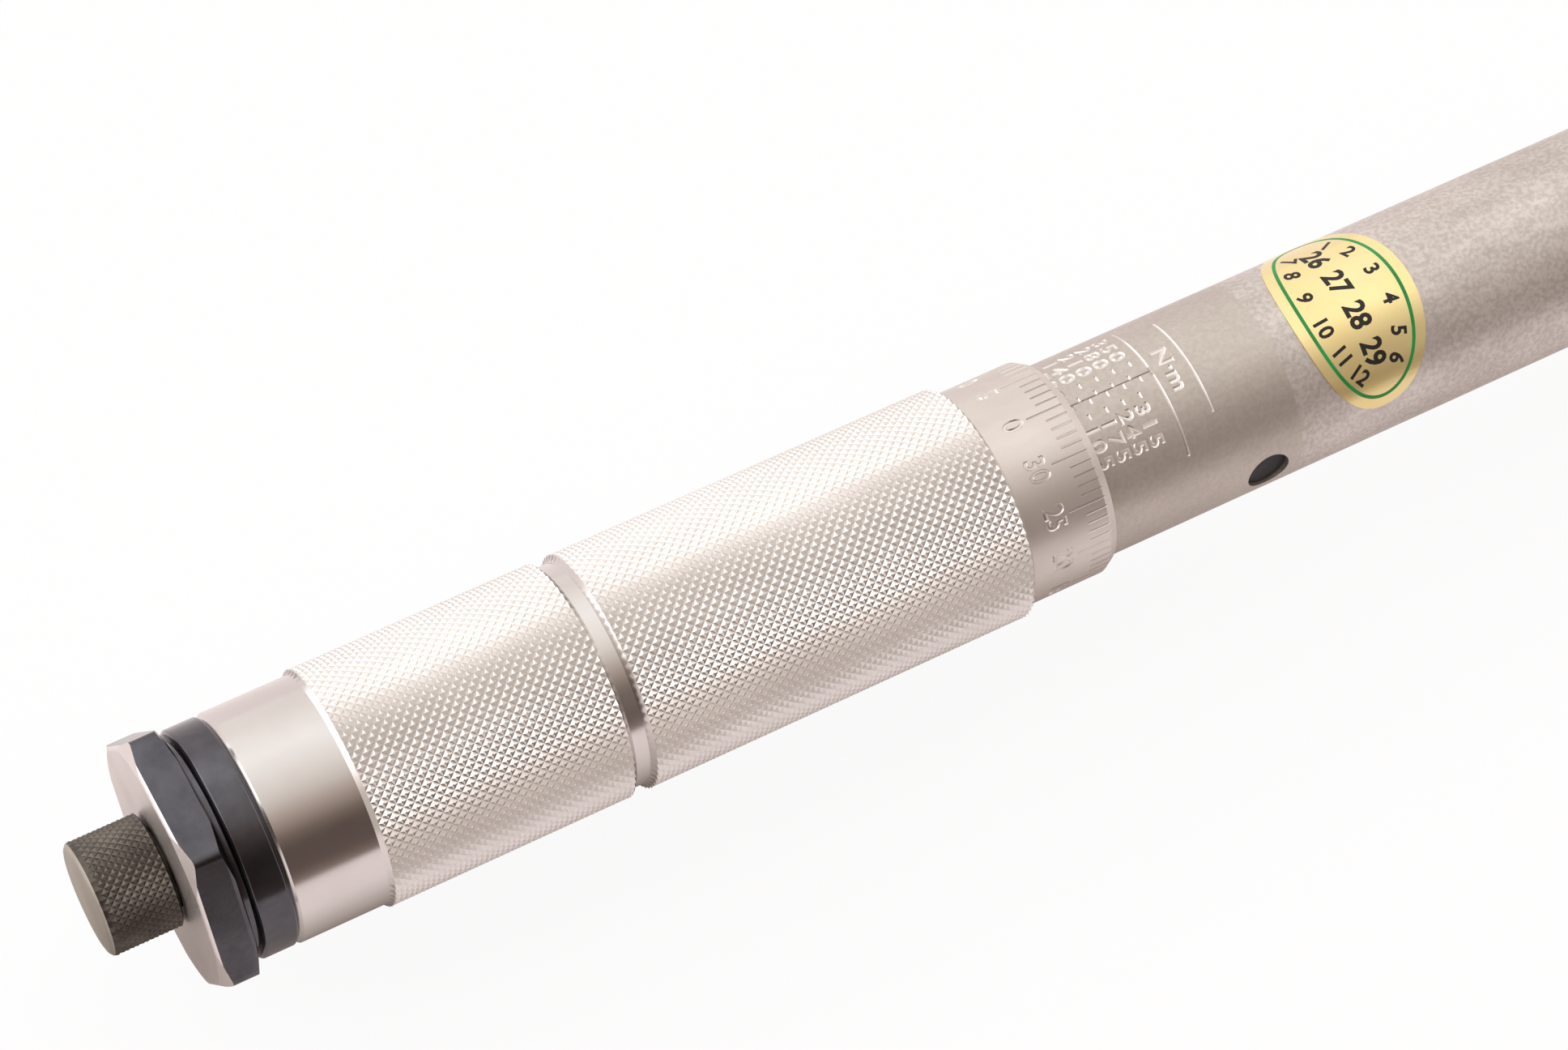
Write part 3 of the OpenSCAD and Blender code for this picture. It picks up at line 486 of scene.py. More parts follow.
def printing_ink(name, dark, light):
    """Screen-printed ink: matt, a little uneven where it is thin."""
    material = blank(name)
    place = add(material, "ShaderNodeTexCoord").outputs["Object"]
    thin = add(material, "ShaderNodeTexNoise", {"Vector": place, "Scale": noise_scale(2.0), "Detail": 4.0,
                                                "Roughness": 0.55}).outputs["Fac"]
    colour = add(material, "ShaderNodeValToRGB", {"Fac": thin}, stops=[(0.3, dark), (0.75, light)])
    shader = add(material, "ShaderNodeBsdfPrincipled", {"Base Color": colour.outputs["Color"],
                                                        "Roughness": 0.45, "Specular IOR Level": 0.4})
    add(material, "ShaderNodeOutputMaterial", {"Surface": shader.outputs[0]})
    return material


TUBE_CHROME = satin_chrome("satin_hard_chrome", "#dbd4cf", "#c9c2bc", 6, 0.44, 0.58, 0.008, "#eae8e6")
SCALE_CHROME = satin_chrome("machined_scale_chrome", "#c9c1ba", "#bfb7af", 12, 0.43, 0.52, 0.005, "#f5f4f3")
THIMBLE_CHROME = satin_chrome("thimble_chrome", "#d9d2cd", "#cdc5be", 8, 0.37, 0.45, 0.006)
KNURL_CHROME = satin_chrome("knurled_chrome", "#e6e2df", "#dad5d1", 6, 0.24, 0.32, 0.001)
RING_CHROME = turned_chrome("turned_chrome", "#dcd7d4", "#d1cbc7", 0.17, 0.35, 0.0006)
STAMPED_CHROME = satin_chrome("stamped_chrome", "#e2ddd9", "#d5cfcb", 5, 0.24, 0.32, 0.001)
HEAD_CHROME = satin_chrome("polished_chrome", "#bab7b4", "#aeaaa7", 20, 0.11, 0.16, 0.0004)
DRIVE_STEEL = bare_steel("ground_drive_steel", "#b5b2ae", "#a29e9a", 0.24)
BLACK_OXIDE = black_oxide("black_oxide_steel", "#4c4a4e", "#6a696e", 0.16, 0.0025)
KNOB_BLACK = black_oxide("knurled_black_oxide", "#49443f", "#6e6860", 0.36)
PIN_BLACK = black_oxide("dark_pin_oxide", "#1b1b1f", "#2b2b30", 0.4)
CAP_FACE = bare_steel("machined_cap_face", "#ece5e3", "#dcd4d1", 0.38)
KNOB_FACE = bare_steel("rubbed_knob_end", "#c4bdb2", "#a8a196", 0.42)
BARE_STEEL = bare_steel("bare_machined_steel", "#aeaaa6", "#98938e", 0.35)
BALL_STEEL = bare_steel("hardened_ball_steel", "#d2d0cd", "#c2bfbc", 0.10, 0.0003)
SPRING_STEEL = bare_steel("spring_steel", "#8d8a86", "#77736f", 0.32)
FOIL = gold_foil()
BLACK_INK = printing_ink("black_label_ink", "#0e0d0b", "#1c1a16")
GREEN_INK = printing_ink("green_label_ink", "#0a7a30", "#1f9a4c")


def painted(piece, *materials):
    """Gives the piece its finishes, the first one all over."""
    piece.data.materials.clear()
    for material in materials:
        piece.data.materials.append(material)
    return piece


def fitted(piece, body, slot, *stands_for):
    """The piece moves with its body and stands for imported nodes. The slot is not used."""
    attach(piece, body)
    if stands_for:
        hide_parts(*stands_for)
    return piece


# ---------- tube with the engraved scale and the holes ----------

# In mm. Places along the tube count from the thimble's edge at rest, and places round it from the axial line.
SCALE_DEPTH = 0.14
SCALE_LINE = 0.2
MARK_HALF = 0.19
RULED_HALF = 0.18
SCALE_FIRST, SCALE_STEP, SCALE_ROWS = 70, 35, 9
SCALE_START, SCALE_PITCH, SCALE_LENGTH = 0.42, 1.18, 11.5
SCALE_FIGURE, SCALE_FIGURE_STEP, SCALE_FIGURE_THIN = 1.95, 2.15, -0.03
FIGURE_SET_BACK = 0.5
UPPER_FIGURES = (-8.4, -6.2, -4.1)
LOWER_FIGURES = (4.1, 6.1, 8.3)
UPPER_MARKS = ((-2.6, -1.7), (0.0, 0.9))
LOWER_MARKS = ((1.9, 2.8), (-0.7, 0.0))
RULED_LINES = ((11.55, -9.4, 11.8), (16.3, -7.3, 7.9))
UNIT_PLACE, UNIT_SIZE = (13.0, 0.6), (2.0, 2.3)
LINE_HIDDEN = 1.5       # the axial line starts this far under the thimble
SCALE_ZONE = 27         # the machined part of the tube ends this far ahead of the thimble
ZONE_HIDDEN = 10        # and starts this far under it
TUBE_MOUTH = 0.5        # chamfer at the tube's front end
PIN_PLAY = 0.05


def scale_cutters():
    """Axial line, its torque marks with their values left and right of it by turns, and the unit between two
    ruled lines."""
    half = SCALE_LINE / 2
    first = THIMBLE_FRONT + SCALE_START
    cuts = [groove(THIMBLE_FRONT - LINE_HIDDEN, THIMBLE_FRONT + SCALE_LENGTH, -half, half, SCALE_DEPTH)]
    for row in range(SCALE_ROWS):
        words = str(SCALE_FIRST + SCALE_STEP * row)
        foot = first + SCALE_PITCH * row - FIGURE_SET_BACK - SCALE_FIGURE / 2
        for figure, s in zip(words, LOWER_FIGURES if row % 2 else UPPER_FIGURES[-len(words):]):
            cuts.append(engraved(figure, foot, s, SCALE_FIGURE, SCALE_FIGURE_STEP, SCALE_DEPTH,
                                 SCALE_FIGURE_THIN))
    for side, marks in enumerate((UPPER_MARKS, LOWER_MARKS)):
        for s0, s1 in marks:
            mark = first + SCALE_PITCH * side
            cuts.append(groove(mark - MARK_HALF, mark + MARK_HALF, s0, s1, SCALE_DEPTH))
            cuts += [copied(cuts[-1], SCALE_PITCH * row) for row in range(2, SCALE_ROWS - side, 2)]
    for x, s0, s1 in RULED_LINES:
        cuts.append(groove(THIMBLE_FRONT + x - RULED_HALF, THIMBLE_FRONT + x + RULED_HALF, s0, s1, SCALE_DEPTH))
    cuts.append(engraved("N·m", THIMBLE_FRONT + UNIT_PLACE[0], UNIT_PLACE[1], *UNIT_SIZE, SCALE_DEPTH))
    return wrapped(joined("scale_cutters", *cuts), TUBE_RADIUS)


def hole_cutter(x, radius, through_side):
    """Round bar through the tube, from side to side or from top to bottom."""
    work_on()
    turn = math.radians(90) if through_side else 0
    bpy.ops.mesh.primitive_cylinder_add(vertices=64, radius=radius * MM, depth=4 * TUBE_RADIUS * MM,
                                        location=(x * MM, 0, AXIS_Z * MM), rotation=(turn, 0, 0))
    return settle(bpy.context.object)


def make_tube():
    """Tube with a chamfered mouth, the holes for its pins, the machined zone and the scale in it."""
    bore = TUBE_RADIUS - TUBE_WALL
    tube = turned("engraved_tube", [
        (TUBE_FRONT, bore + TUBE_MOUTH), (TUBE_FRONT, TUBE_RADIUS - TUBE_MOUTH),
        (TUBE_FRONT - TUBE_MOUTH, TUBE_RADIUS), (THIMBLE_FRONT + SCALE_ZONE, TUBE_RADIUS),
        (THIMBLE_FRONT - ZONE_HIDDEN, TUBE_RADIUS), (TUBE_REAR, TUBE_RADIUS), (TUBE_REAR, bore),
        (TUBE_FRONT - TUBE_MOUTH, bore)], 288)
    cut(tube, hole_cutter(PIN_HOLE_X, PIN_RADIUS + PIN_PLAY, True))
    cut(tube, hole_cutter(PIVOT_X, PIVOT_RADIUS + PIN_PLAY, False))
    cut(tube, scale_cutters())
    painted(smoothed(tube), TUBE_CHROME, SCALE_CHROME, STAMPED_CHROME)
    for face in tube.data.polygons:
        if -ZONE_HIDDEN < face.center.x / MM - THIMBLE_FRONT < SCALE_ZONE:
            face.material_index = 1
    # The axial line keeps the zone's own finish, so it is left out by its place
    burnish(tube, 2, lambda x, y: TUBE_RADIUS if -2 * LINE_HIDDEN < x - THIMBLE_FRONT < SCALE_ZONE
            and abs(y) > SCALE_LINE / 2 else 0)
    return fitted(tube, "body", "tube_chrome", "tube")


# ---------- handle: graduated thimble, knurled bands, groove and ring ----------

THIMBLE_LENGTH = 12.5
THIMBLE_BEVEL = (1.2, 0.7)
TICKS = 70
TICK_DEPTH = 0.17
TICK_WIDTH = 0.32
NUMBERED_TICK, PLAIN_TICK, TICK_OVERRUN = 6.0, 4.0, 0.2
THIMBLE_FIGURE, THIMBLE_FIGURE_STEP, THIMBLE_FIGURE_THIN = 2.8, 2.1, -0.05
THIMBLE_FIGURE_FOOT = 9.2
FIGURE_DEPTH = 0.15
FRONT_BAND = 51.4
GROOVE_WIDTH = 3.0
REAR_BAND = 31.4
GROOVE_DROP = 0.9
RING_DROP = 0.6
RIM = 0.5
BAND_EDGE = 0.6
TURNED_MARGIN = 0.1     # a face this far outside a knurled band has the lathe's finish
EDGE_MARGIN = 0.01      # a face this near the thimble's edge is its flat front, not an engraving's wall
GROOVES = 68
KNURL_DEPTH = 0.38
KNURL_TIP = 0.17


def thimble_cutters():
    """Graduation round the thimble's edge, with every fifth line longer and numbered. It counts up twice round
    the thimble, since half a turn is one row of the scale."""
    arc = 2 * math.pi * THIMBLE_RADIUS / TICKS
    front, half = THIMBLE_FRONT + TICK_OVERRUN, TICK_WIDTH / 2
    start = -TICKS // 2 * arc
    numbered = groove(THIMBLE_FRONT - NUMBERED_TICK, front, start - half, start + half, TICK_DEPTH)
    plain = groove(THIMBLE_FRONT - PLAIN_TICK, front, start + arc - half, start + arc + half, TICK_DEPTH)
    cuts = [numbered, plain]
    cuts += [copied(numbered, 0, i * arc) for i in range(5, TICKS, 5)]
    cuts += [copied(plain, 0, (i - 1) * arc) for i in range(2, TICKS) if i % 5]
    for i in range(0, TICKS // 2, 5):
        value = (TICKS // 2 - i) % (TICKS // 2)
        cuts.append(engraved(str(value), THIMBLE_FRONT - THIMBLE_FIGURE_FOOT, start + i * arc, THIMBLE_FIGURE,
                             THIMBLE_FIGURE_STEP, FIGURE_DEPTH, THIMBLE_FIGURE_THIN))
        cuts.append(copied(cuts[-1], 0, -start))
    return wrapped(joined("thimble_cutters", *cuts), THIMBLE_RADIUS)


def make_handle():
    """Sleeve with two knurled bands, a groove and a plain ring, joined to the graduated thimble."""
    band_1 = THIMBLE_FRONT - THIMBLE_LENGTH
    band_1_end = band_1 - FRONT_BAND
    band_2 = band_1_end - GROOVE_WIDTH
    ring = band_2 - REAR_BAND
    seam = band_1 + BAND_EDGE
    thimble = turned("thimble", [
        (THIMBLE_FRONT, SLEEVE_BORE), (THIMBLE_FRONT, THIMBLE_RADIUS - THIMBLE_BEVEL[1]),
        (THIMBLE_FRONT - THIMBLE_BEVEL[0], THIMBLE_RADIUS), (seam, THIMBLE_RADIUS), (seam, SLEEVE_BORE)], 280)
    cut(thimble, thimble_cutters())
    rings_1 = knurl_rings(band_1, band_1_end, GRIP_RADIUS, GROOVES)
    rings_2 = knurl_rings(band_2, ring, GRIP_RADIUS, GROOVES)
    low = GRIP_RADIUS - GROOVE_DROP
    plain = GRIP_RADIUS - RING_DROP
    sleeve = turned("sleeve", [(seam, SLEEVE_BORE), (seam, THIMBLE_RADIUS)] + rings_1
                    + [(band_1_end - BAND_EDGE, low), (band_2 + BAND_EDGE, low)] + rings_2
                    + [(ring - BAND_EDGE, plain), (SLEEVE_REAR + RIM, plain), (SLEEVE_REAR, plain - RIM),
                       (SLEEVE_REAR, SLEEVE_BORE)], 2 * GROOVES)
    knurl(sleeve, rings_1, GRIP_RADIUS, KNURL_DEPTH, GROOVES, KNURL_TIP)
    knurl(sleeve, rings_2, GRIP_RADIUS, KNURL_DEPTH, GROOVES, KNURL_TIP)
    painted(smoothed(thimble), THIMBLE_CHROME, STAMPED_CHROME)
    length, drop = THIMBLE_BEVEL
    burnish(thimble, 1, lambda x, y: THIMBLE_RADIUS - drop * max(0, 1 - (THIMBLE_FRONT - x) / length)
            if x < THIMBLE_FRONT - EDGE_MARGIN else 0)
    painted(smoothed(sleeve), KNURL_CHROME, RING_CHROME)
    for face in sleeve.data.polygons:
        x = face.center.x / MM
        if x < ring - TURNED_MARGIN or band_2 + TURNED_MARGIN < x < band_1_end - TURNED_MARGIN:
            face.material_index = 1
    return fitted(joined("knurled_handle", sleeve, thimble), "handle", "handle_chrome", "grip_sleeve")


# ---------- end cap and lock knob ----------

HEX_LENGTH = 5.1
HEX_TURN = 2
HEX_CHAMFER = (1.0, 2.4)
HEX_CORNER = 0.7
HEX_EDGE = 0.22
FACED_LENGTH, FACED_LEAN = 2, -0.3      # how far the bright rear face reaches, and how it must look back
CAP_CORNER = half_of("end_cap", "y") / math.cos(math.radians(HEX_TURN))
COLLAR_RADIUS = GRIP_RADIUS - 0.7
COLLAR_LENGTH = 4.6
COLLAR_EDGE = 0.4
COLLAR_ROUNDING = 0.12
NECK_RADIUS = COLLAR_RADIUS - 1.45
NECK_OVERLAP = 0.05     # the neck ends this far inside the hexagon
CAP_PLAY = 0.35         # between the cap's bore and the knob's shank
BORE_CHAMFER = 0.5
KNOB_FRONT = CAP_REAR - 0.4
KNOB_EDGE = 0.9
KNOB_ROUNDING = ((0.12, 0.5), (0.4, 0.15))      # from the knob's end, and in from its radius
KNOB_SHOULDER = (0.3, 0.5)
KNOB_GROOVES = 38
KNOB_KNURL_DEPTH = 0.28
KNOB_KNURL_TIP = 0.1
SHANK_RADIUS = 4.9
SHANK_LENGTH = 2.6


def make_end_cap():
    """Hexagon with a nut's chamfer, neck and collar, bored for the knob's shank."""
    bore = SHANK_RADIUS + CAP_PLAY
    front = CAP_REAR + HEX_LENGTH
    work_on()
    bpy.ops.mesh.primitive_cylinder_add(vertices=6, radius=CAP_CORNER * MM, depth=HEX_LENGTH * MM,
                                        location=((CAP_REAR + HEX_LENGTH / 2) * MM, 0, 0),
                                        rotation=(0, math.radians(90), 0))
    hexagon = bpy.context.object
    bpy.ops.object.transform_apply(location=True, rotation=True, scale=True)
    hexagon.rotation_euler.x = math.radians(HEX_TURN)
    hexagon.location.z = AXIS_Z * MM
    settle(hexagon)
    eased(hexagon, HEX_CORNER, segments=4, angle=50)
    length, drop = HEX_CHAMFER
    low = CAP_CORNER - drop
    chamfers = turned("chamfers", [
        (front, bore), (front, low), (front - length, CAP_CORNER), (CAP_REAR + length, CAP_CORNER),
        (CAP_REAR, low), (CAP_REAR, bore + BORE_CHAMFER), (CAP_REAR + BORE_CHAMFER, bore)], 180)
    cut(hexagon, chamfers, "INTERSECT")
    settle(hexagon)
    eased(hexagon, HEX_EDGE, segments=3, angle=20)
    collar_rear = SLEEVE_REAR - COLLAR_LENGTH
    collar = turned("collar", [
        (SLEEVE_REAR, bore), (SLEEVE_REAR, COLLAR_RADIUS - COLLAR_EDGE),
        (SLEEVE_REAR - COLLAR_EDGE, COLLAR_RADIUS), (collar_rear + COLLAR_EDGE, COLLAR_RADIUS),
        (collar_rear, COLLAR_RADIUS - COLLAR_EDGE), (collar_rear, NECK_RADIUS),
        (front - NECK_OVERLAP, NECK_RADIUS), (front - NECK_OVERLAP, bore)], 180)
    eased(collar, COLLAR_ROUNDING, segments=2, angle=40)
    cap = painted(evened(smoothed(joined("hexagon_cap", hexagon, collar), 25)), BLACK_OXIDE, CAP_FACE)
    for face in cap.data.polygons:
        if face.normal.x < FACED_LEAN and face.center.x / MM < CAP_REAR + FACED_LENGTH:
            face.material_index = 1
    return fitted(cap, "handle", "black_oxide", "end_cap")


def make_lock_knob():
    """Knurled knob on its shank, with a bright turned end."""
    length, drop = KNOB_SHOULDER
    rings = knurl_rings(KNOB_REAR + KNOB_EDGE, KNOB_FRONT - length, KNOB_RADIUS, KNOB_GROOVES)
    knob = turned("lock_knob_knurled", [(KNOB_REAR, KNOB_RADIUS - KNOB_EDGE)]
                  + [(KNOB_REAR + x, KNOB_RADIUS - r) for x, r in KNOB_ROUNDING] + rings
                  + [(KNOB_FRONT, KNOB_RADIUS - drop), (KNOB_FRONT, SHANK_RADIUS),
                     (KNOB_FRONT + SHANK_LENGTH, SHANK_RADIUS)], 2 * KNOB_GROOVES, solid=True)
    knurl(knob, rings, KNOB_RADIUS, KNOB_KNURL_DEPTH, KNOB_GROOVES, KNOB_KNURL_TIP)
    painted(smoothed(knob), KNOB_BLACK, KNOB_FACE)
    for face in knob.data.polygons:
        if face.center.x / MM < KNOB_REAR + KNOB_ROUNDING[-1][0]:
            face.material_index = 1
    return fitted(knob, "knob", "black_oxide", "lock_knob")


# ---------- label ----------

LABEL_HALF = (8.6, 15.2)
LABEL_TURN = 1.8
FOIL_THICKNESS = 0.1
FOIL_RADIUS = TUBE_RADIUS + 0.02
INK_THICKNESS = 0.012
INK_STRIP = 0.4         # the printed figures are cut in strips this wide, to bend round the tube
FOIL_STRIP = 0.5        # and the foil and its green line in these
LABEL_LINE = (1.45, 0.48)                       # the green line's inset and width
MONTH_INSET = (1.7, 2.0)
MONTH_FROM, MONTH_STEP = -57, 22.8
MONTH_HEIGHT, MONTH_WIDTH, MONTH_BOLD = 2.1, 1.75, 0.08
YEARS = ("26", "27", "28", "29")
YEAR_STEP = 5.0
YEAR_HEIGHT, YEAR_WIDTH, YEAR_BOLD = 2.9, 2.2, 0.12


def oval(half_x, half_s, filled):
    """Flat oval at the label's place, left in edit mode with all of it selected."""
    work_on()
    bpy.ops.mesh.primitive_circle_add(vertices=160, radius=MM, fill_type="NGON" if filled else "NOTHING",
                                      location=(LABEL_X * MM, -LABEL_TURN * MM, 0))
    bpy.context.object.scale = (half_x, half_s, 1)
    bpy.ops.object.transform_apply(location=True, rotation=True, scale=True)
    bpy.ops.object.mode_set(mode="EDIT")
    bpy.ops.mesh.select_all(action="SELECT")
    return bpy.context.object


def strips(piece, width):
    """Cuts a flat piece into strips narrow enough to bend round the tube."""
    low = min(point.co.y for point in piece.data.vertices)
    high = max(point.co.y for point in piece.data.vertices)
    return sliced(piece, [low + i * width * MM for i in range(1, int((high - low) / (width * MM)))])


def raised(piece, thickness, lift):
    """Gives an oval from edit mode its thickness."""
    bpy.ops.mesh.extrude_region_move(TRANSFORM_OT_translate={"value": (0, 0, thickness * MM)})
    bpy.ops.object.mode_set(mode="OBJECT")
    piece.location.z = lift * MM
    return strips(settle(piece), FOIL_STRIP)


def make_label():
    """Oval foil with a green line, months round its edge and years across it."""
    foil = wrapped(raised(oval(*LABEL_HALF, True), FOIL_THICKNESS, 0), FOIL_RADIUS)
    foil.name = foil.data.name = "label_foil_oval"
    fitted(painted(smoothed(foil), FOIL), "body", "label_foil", "inspection_label")
    inset, width = LABEL_LINE
    half_x, half_s = LABEL_HALF[0] - inset, LABEL_HALF[1] - inset
    line = oval(half_x, half_s, False)
    bpy.ops.mesh.extrude_region_move(TRANSFORM_OT_translate={"value": (0, 0, 0)})
    bpy.ops.transform.resize(value=((half_x - width) / half_x, (half_s - width) / half_s, 1),
                             center_override=(LABEL_X * MM, -LABEL_TURN * MM, 0))
    bpy.ops.mesh.select_all(action="SELECT")
    wrapped(raised(line, INK_THICKNESS, FOIL_THICKNESS), FOIL_RADIUS)
    line.name = line.data.name = "label_green_line"
    fitted(painted(line, GREEN_INK), "body", "label_foil")
    lift = FOIL_THICKNESS + INK_THICKNESS / 2
    words = []
    ring_x, ring_s = half_x - width - MONTH_INSET[0], half_s - width - MONTH_INSET[1]
    for month in range(1, 13):
        side = 1 if month <= 6 else -1
        place = math.radians(MONTH_FROM + MONTH_STEP * ((month - 1) % 6))
        x = LABEL_X + side * ring_x * math.cos(place)
        s = LABEL_TURN + ring_s * math.sin(place)
        lean = math.degrees(math.atan2(-side * math.sin(place) / ring_s, math.cos(place) / ring_x))
        words.append(figures(str(month), x, s, MONTH_HEIGHT, MONTH_WIDTH, lean, MONTH_BOLD, True,
                             thickness=INK_THICKNESS, lift=lift))
    for i, year in enumerate(YEARS):
        s = LABEL_TURN + (i - (len(YEARS) - 1) / 2) * YEAR_STEP
        words.append(figures(year, LABEL_X, s, YEAR_HEIGHT, YEAR_WIDTH, 0, YEAR_BOLD, True,
                             thickness=INK_THICKNESS, lift=lift))
    printed = wrapped(strips(joined("label_black_figures", *words), INK_STRIP), FOIL_RADIUS)
    fitted(painted(printed, BLACK_INK), "body", "label_foil")


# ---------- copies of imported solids, with their edges broken ----------

def dressed(node, name, body, slot, material, edge=0.2, angle=35, smooth=30):
    """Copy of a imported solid: doubles merged, flat faces joined, sharp edges broken."""
    piece = bpy.data.objects.new(name, nodes[node].data.copy())
    bpy.context.scene.collection.objects.link(piece)
    work_on(piece)
    bpy.ops.mesh.customdata_custom_splitnormals_clear()
    bpy.ops.object.mode_set(mode="EDIT")
    bpy.ops.mesh.select_all(action="SELECT")
    bpy.ops.mesh.remove_doubles(threshold=MERGE)
    bpy.ops.mesh.dissolve_limited(angle_limit=math.radians(0.5))
    bpy.ops.object.mode_set(mode="OBJECT")
    if edge:
        eased(piece, edge, segments=2, angle=angle)
    painted(evened(smoothed(piece, smooth)), material)
    return fitted(piece, body, slot, node)


# ---------- stage, light and camera ----------

# In metres
TABLE_SIZE = 8
TABLE_EDGE = 0.31           # the white table ends this far in front of the tool
TABLE_X, TABLE_Z = -0.3, -0.0002
TABLE_WHITE = "#f2ecee"
# Painted shadow of the handle on the table as its metal mirrors it, from right under the axis outward, fading
# under the tube
SHADOW = [(0.0, "#98908c"), (0.12, "#a8a09c"), (0.36, "#cac3c0"), (0.7, "#e6e0e0"), (1.0, TABLE_WHITE)]
SHADOW_REACH = 0.05         # the shadow ends this far to each side of the axis
SHADOW_END = 0.03           # it fades over this length ahead of the thimble
SHADOW_FADE = 0.6           # by this share
GLOW_SHARE = 0.1            # share of its light that the mirrored table gives off by itself
WHITE_SHARE = 0.9           # the same for the table as the camera sees it


def make_floor():
    """White table. The camera sees it nearly pure white with a trace of shadow. Metal mirrors it with a painted
    shadow under the handle and a faint painted glow."""
    work_on()
    bpy.ops.mesh.primitive_plane_add(size=TABLE_SIZE, location=(TABLE_X, TABLE_SIZE / 2 - TABLE_EDGE, TABLE_Z))
    bpy.ops.object.transform_apply(location=True, rotation=True, scale=True)
    floor = bpy.context.object
    floor.name = floor.data.name = "floor"
    material = blank("white_table")
    paths = add(material, "ShaderNodeLightPath")
    place = add(material, "ShaderNodeTexCoord").outputs["Object"]
    split = add(material, "ShaderNodeSeparateXYZ", {0: place})
    # Painted shadow: the mirrored table is darker near the axis and behind the thimble
    away = add(material, "ShaderNodeMath", {0: split.outputs["Y"]}, operation="ABSOLUTE")
    near = add(material, "ShaderNodeMapRange", {"Value": away.outputs[0], "From Min": 0.0,
                                                "From Max": SHADOW_REACH})
    ahead = add(material, "ShaderNodeMapRange", {"Value": split.outputs["X"], "From Min": THIMBLE_FRONT * MM,
                                                 "From Max": THIMBLE_FRONT * MM + SHADOW_END,
                                                 "To Max": SHADOW_FADE})
    share = add(material, "ShaderNodeMath", {0: near.outputs[0], 1: ahead.outputs[0]}, operation="ADD")
    shadow = add(material, "ShaderNodeValToRGB", {"Fac": share.outputs[0]}, stops=SHADOW)
    table = add(material, "ShaderNodeBsdfDiffuse", {"Color": paint(TABLE_WHITE)})
    shaded = add(material, "ShaderNodeBsdfDiffuse", {"Color": shadow.outputs["Color"]})
    white = add(material, "ShaderNodeEmission", {"Color": (1, 1, 1, 1), "Strength": 1.0})
    # Painted glow: the mirrored table gives off a little light of its own, in the painted shadow's colour
    painted_glow = add(material, "ShaderNodeEmission", {"Color": shadow.outputs["Color"], "Strength": 1.0})
    pale = add(material, "ShaderNodeMixShader", {0: WHITE_SHARE, 1: table.outputs[0], 2: white.outputs[0]})
    bright = add(material, "ShaderNodeMixShader", {0: GLOW_SHARE, 1: shaded.outputs[0], 2: painted_glow.outputs[0]})
    mirrored = add(material, "ShaderNodeMixShader", {0: paths.outputs["Is Glossy Ray"], 1: table.outputs[0],
                                                     2: bright.outputs[0]})
    mix = add(material, "ShaderNodeMixShader", {0: paths.outputs["Is Camera Ray"], 1: mirrored.outputs[0],
                                                2: pale.outputs[0]})
    add(material, "ShaderNodeOutputMaterial", {"Surface": mix.outputs[0]})
    floor.data.materials.append(material)


# Brightness of the room by elevation from the front horizon over the top to the back one, in half turns
ROOM = [(0.0, "#6a5b54"), (0.05, "#564843"), (0.17, "#4b3f3a"), (0.23, "#6a5b52"), (0.32, "#a5968d"),
        (0.43, "#d6d0cb"), (0.55, "#efebe8"), (0.66, "#ffffff"), (0.78, "#f8f5f3"), (0.88, "#ece7e4"),
        (1.0, "#eee9e6")]
ROOM_STRENGTH = 1.3
# The same for the window wall behind the knob and the darker wall behind the head
WINDOW_WALL = [(0.0, "#958e89"), (0.08, "#98918c"), (0.26, "#a39b95"), (0.39, "#d8d2ce"), (0.5, "#ffffff")]
WINDOW_STRENGTH = 2.1
HEAD_WALL = [(0.0, "#897f79"), (0.05, "#897f79"), (0.12, "#aea6a0"), (0.24, "#b3aba5"), (0.39, "#dcd6d2"),
             (0.48, "#fdf9f6"), (0.62, "#e6e0dc"), (1.0, "#d6d0cb")]
HEAD_WALL_STRENGTH = 1.7
WALLS_FROM, WALLS_TO = 0.16, 0.5        # the walls begin and are full at these shares of a direction along X


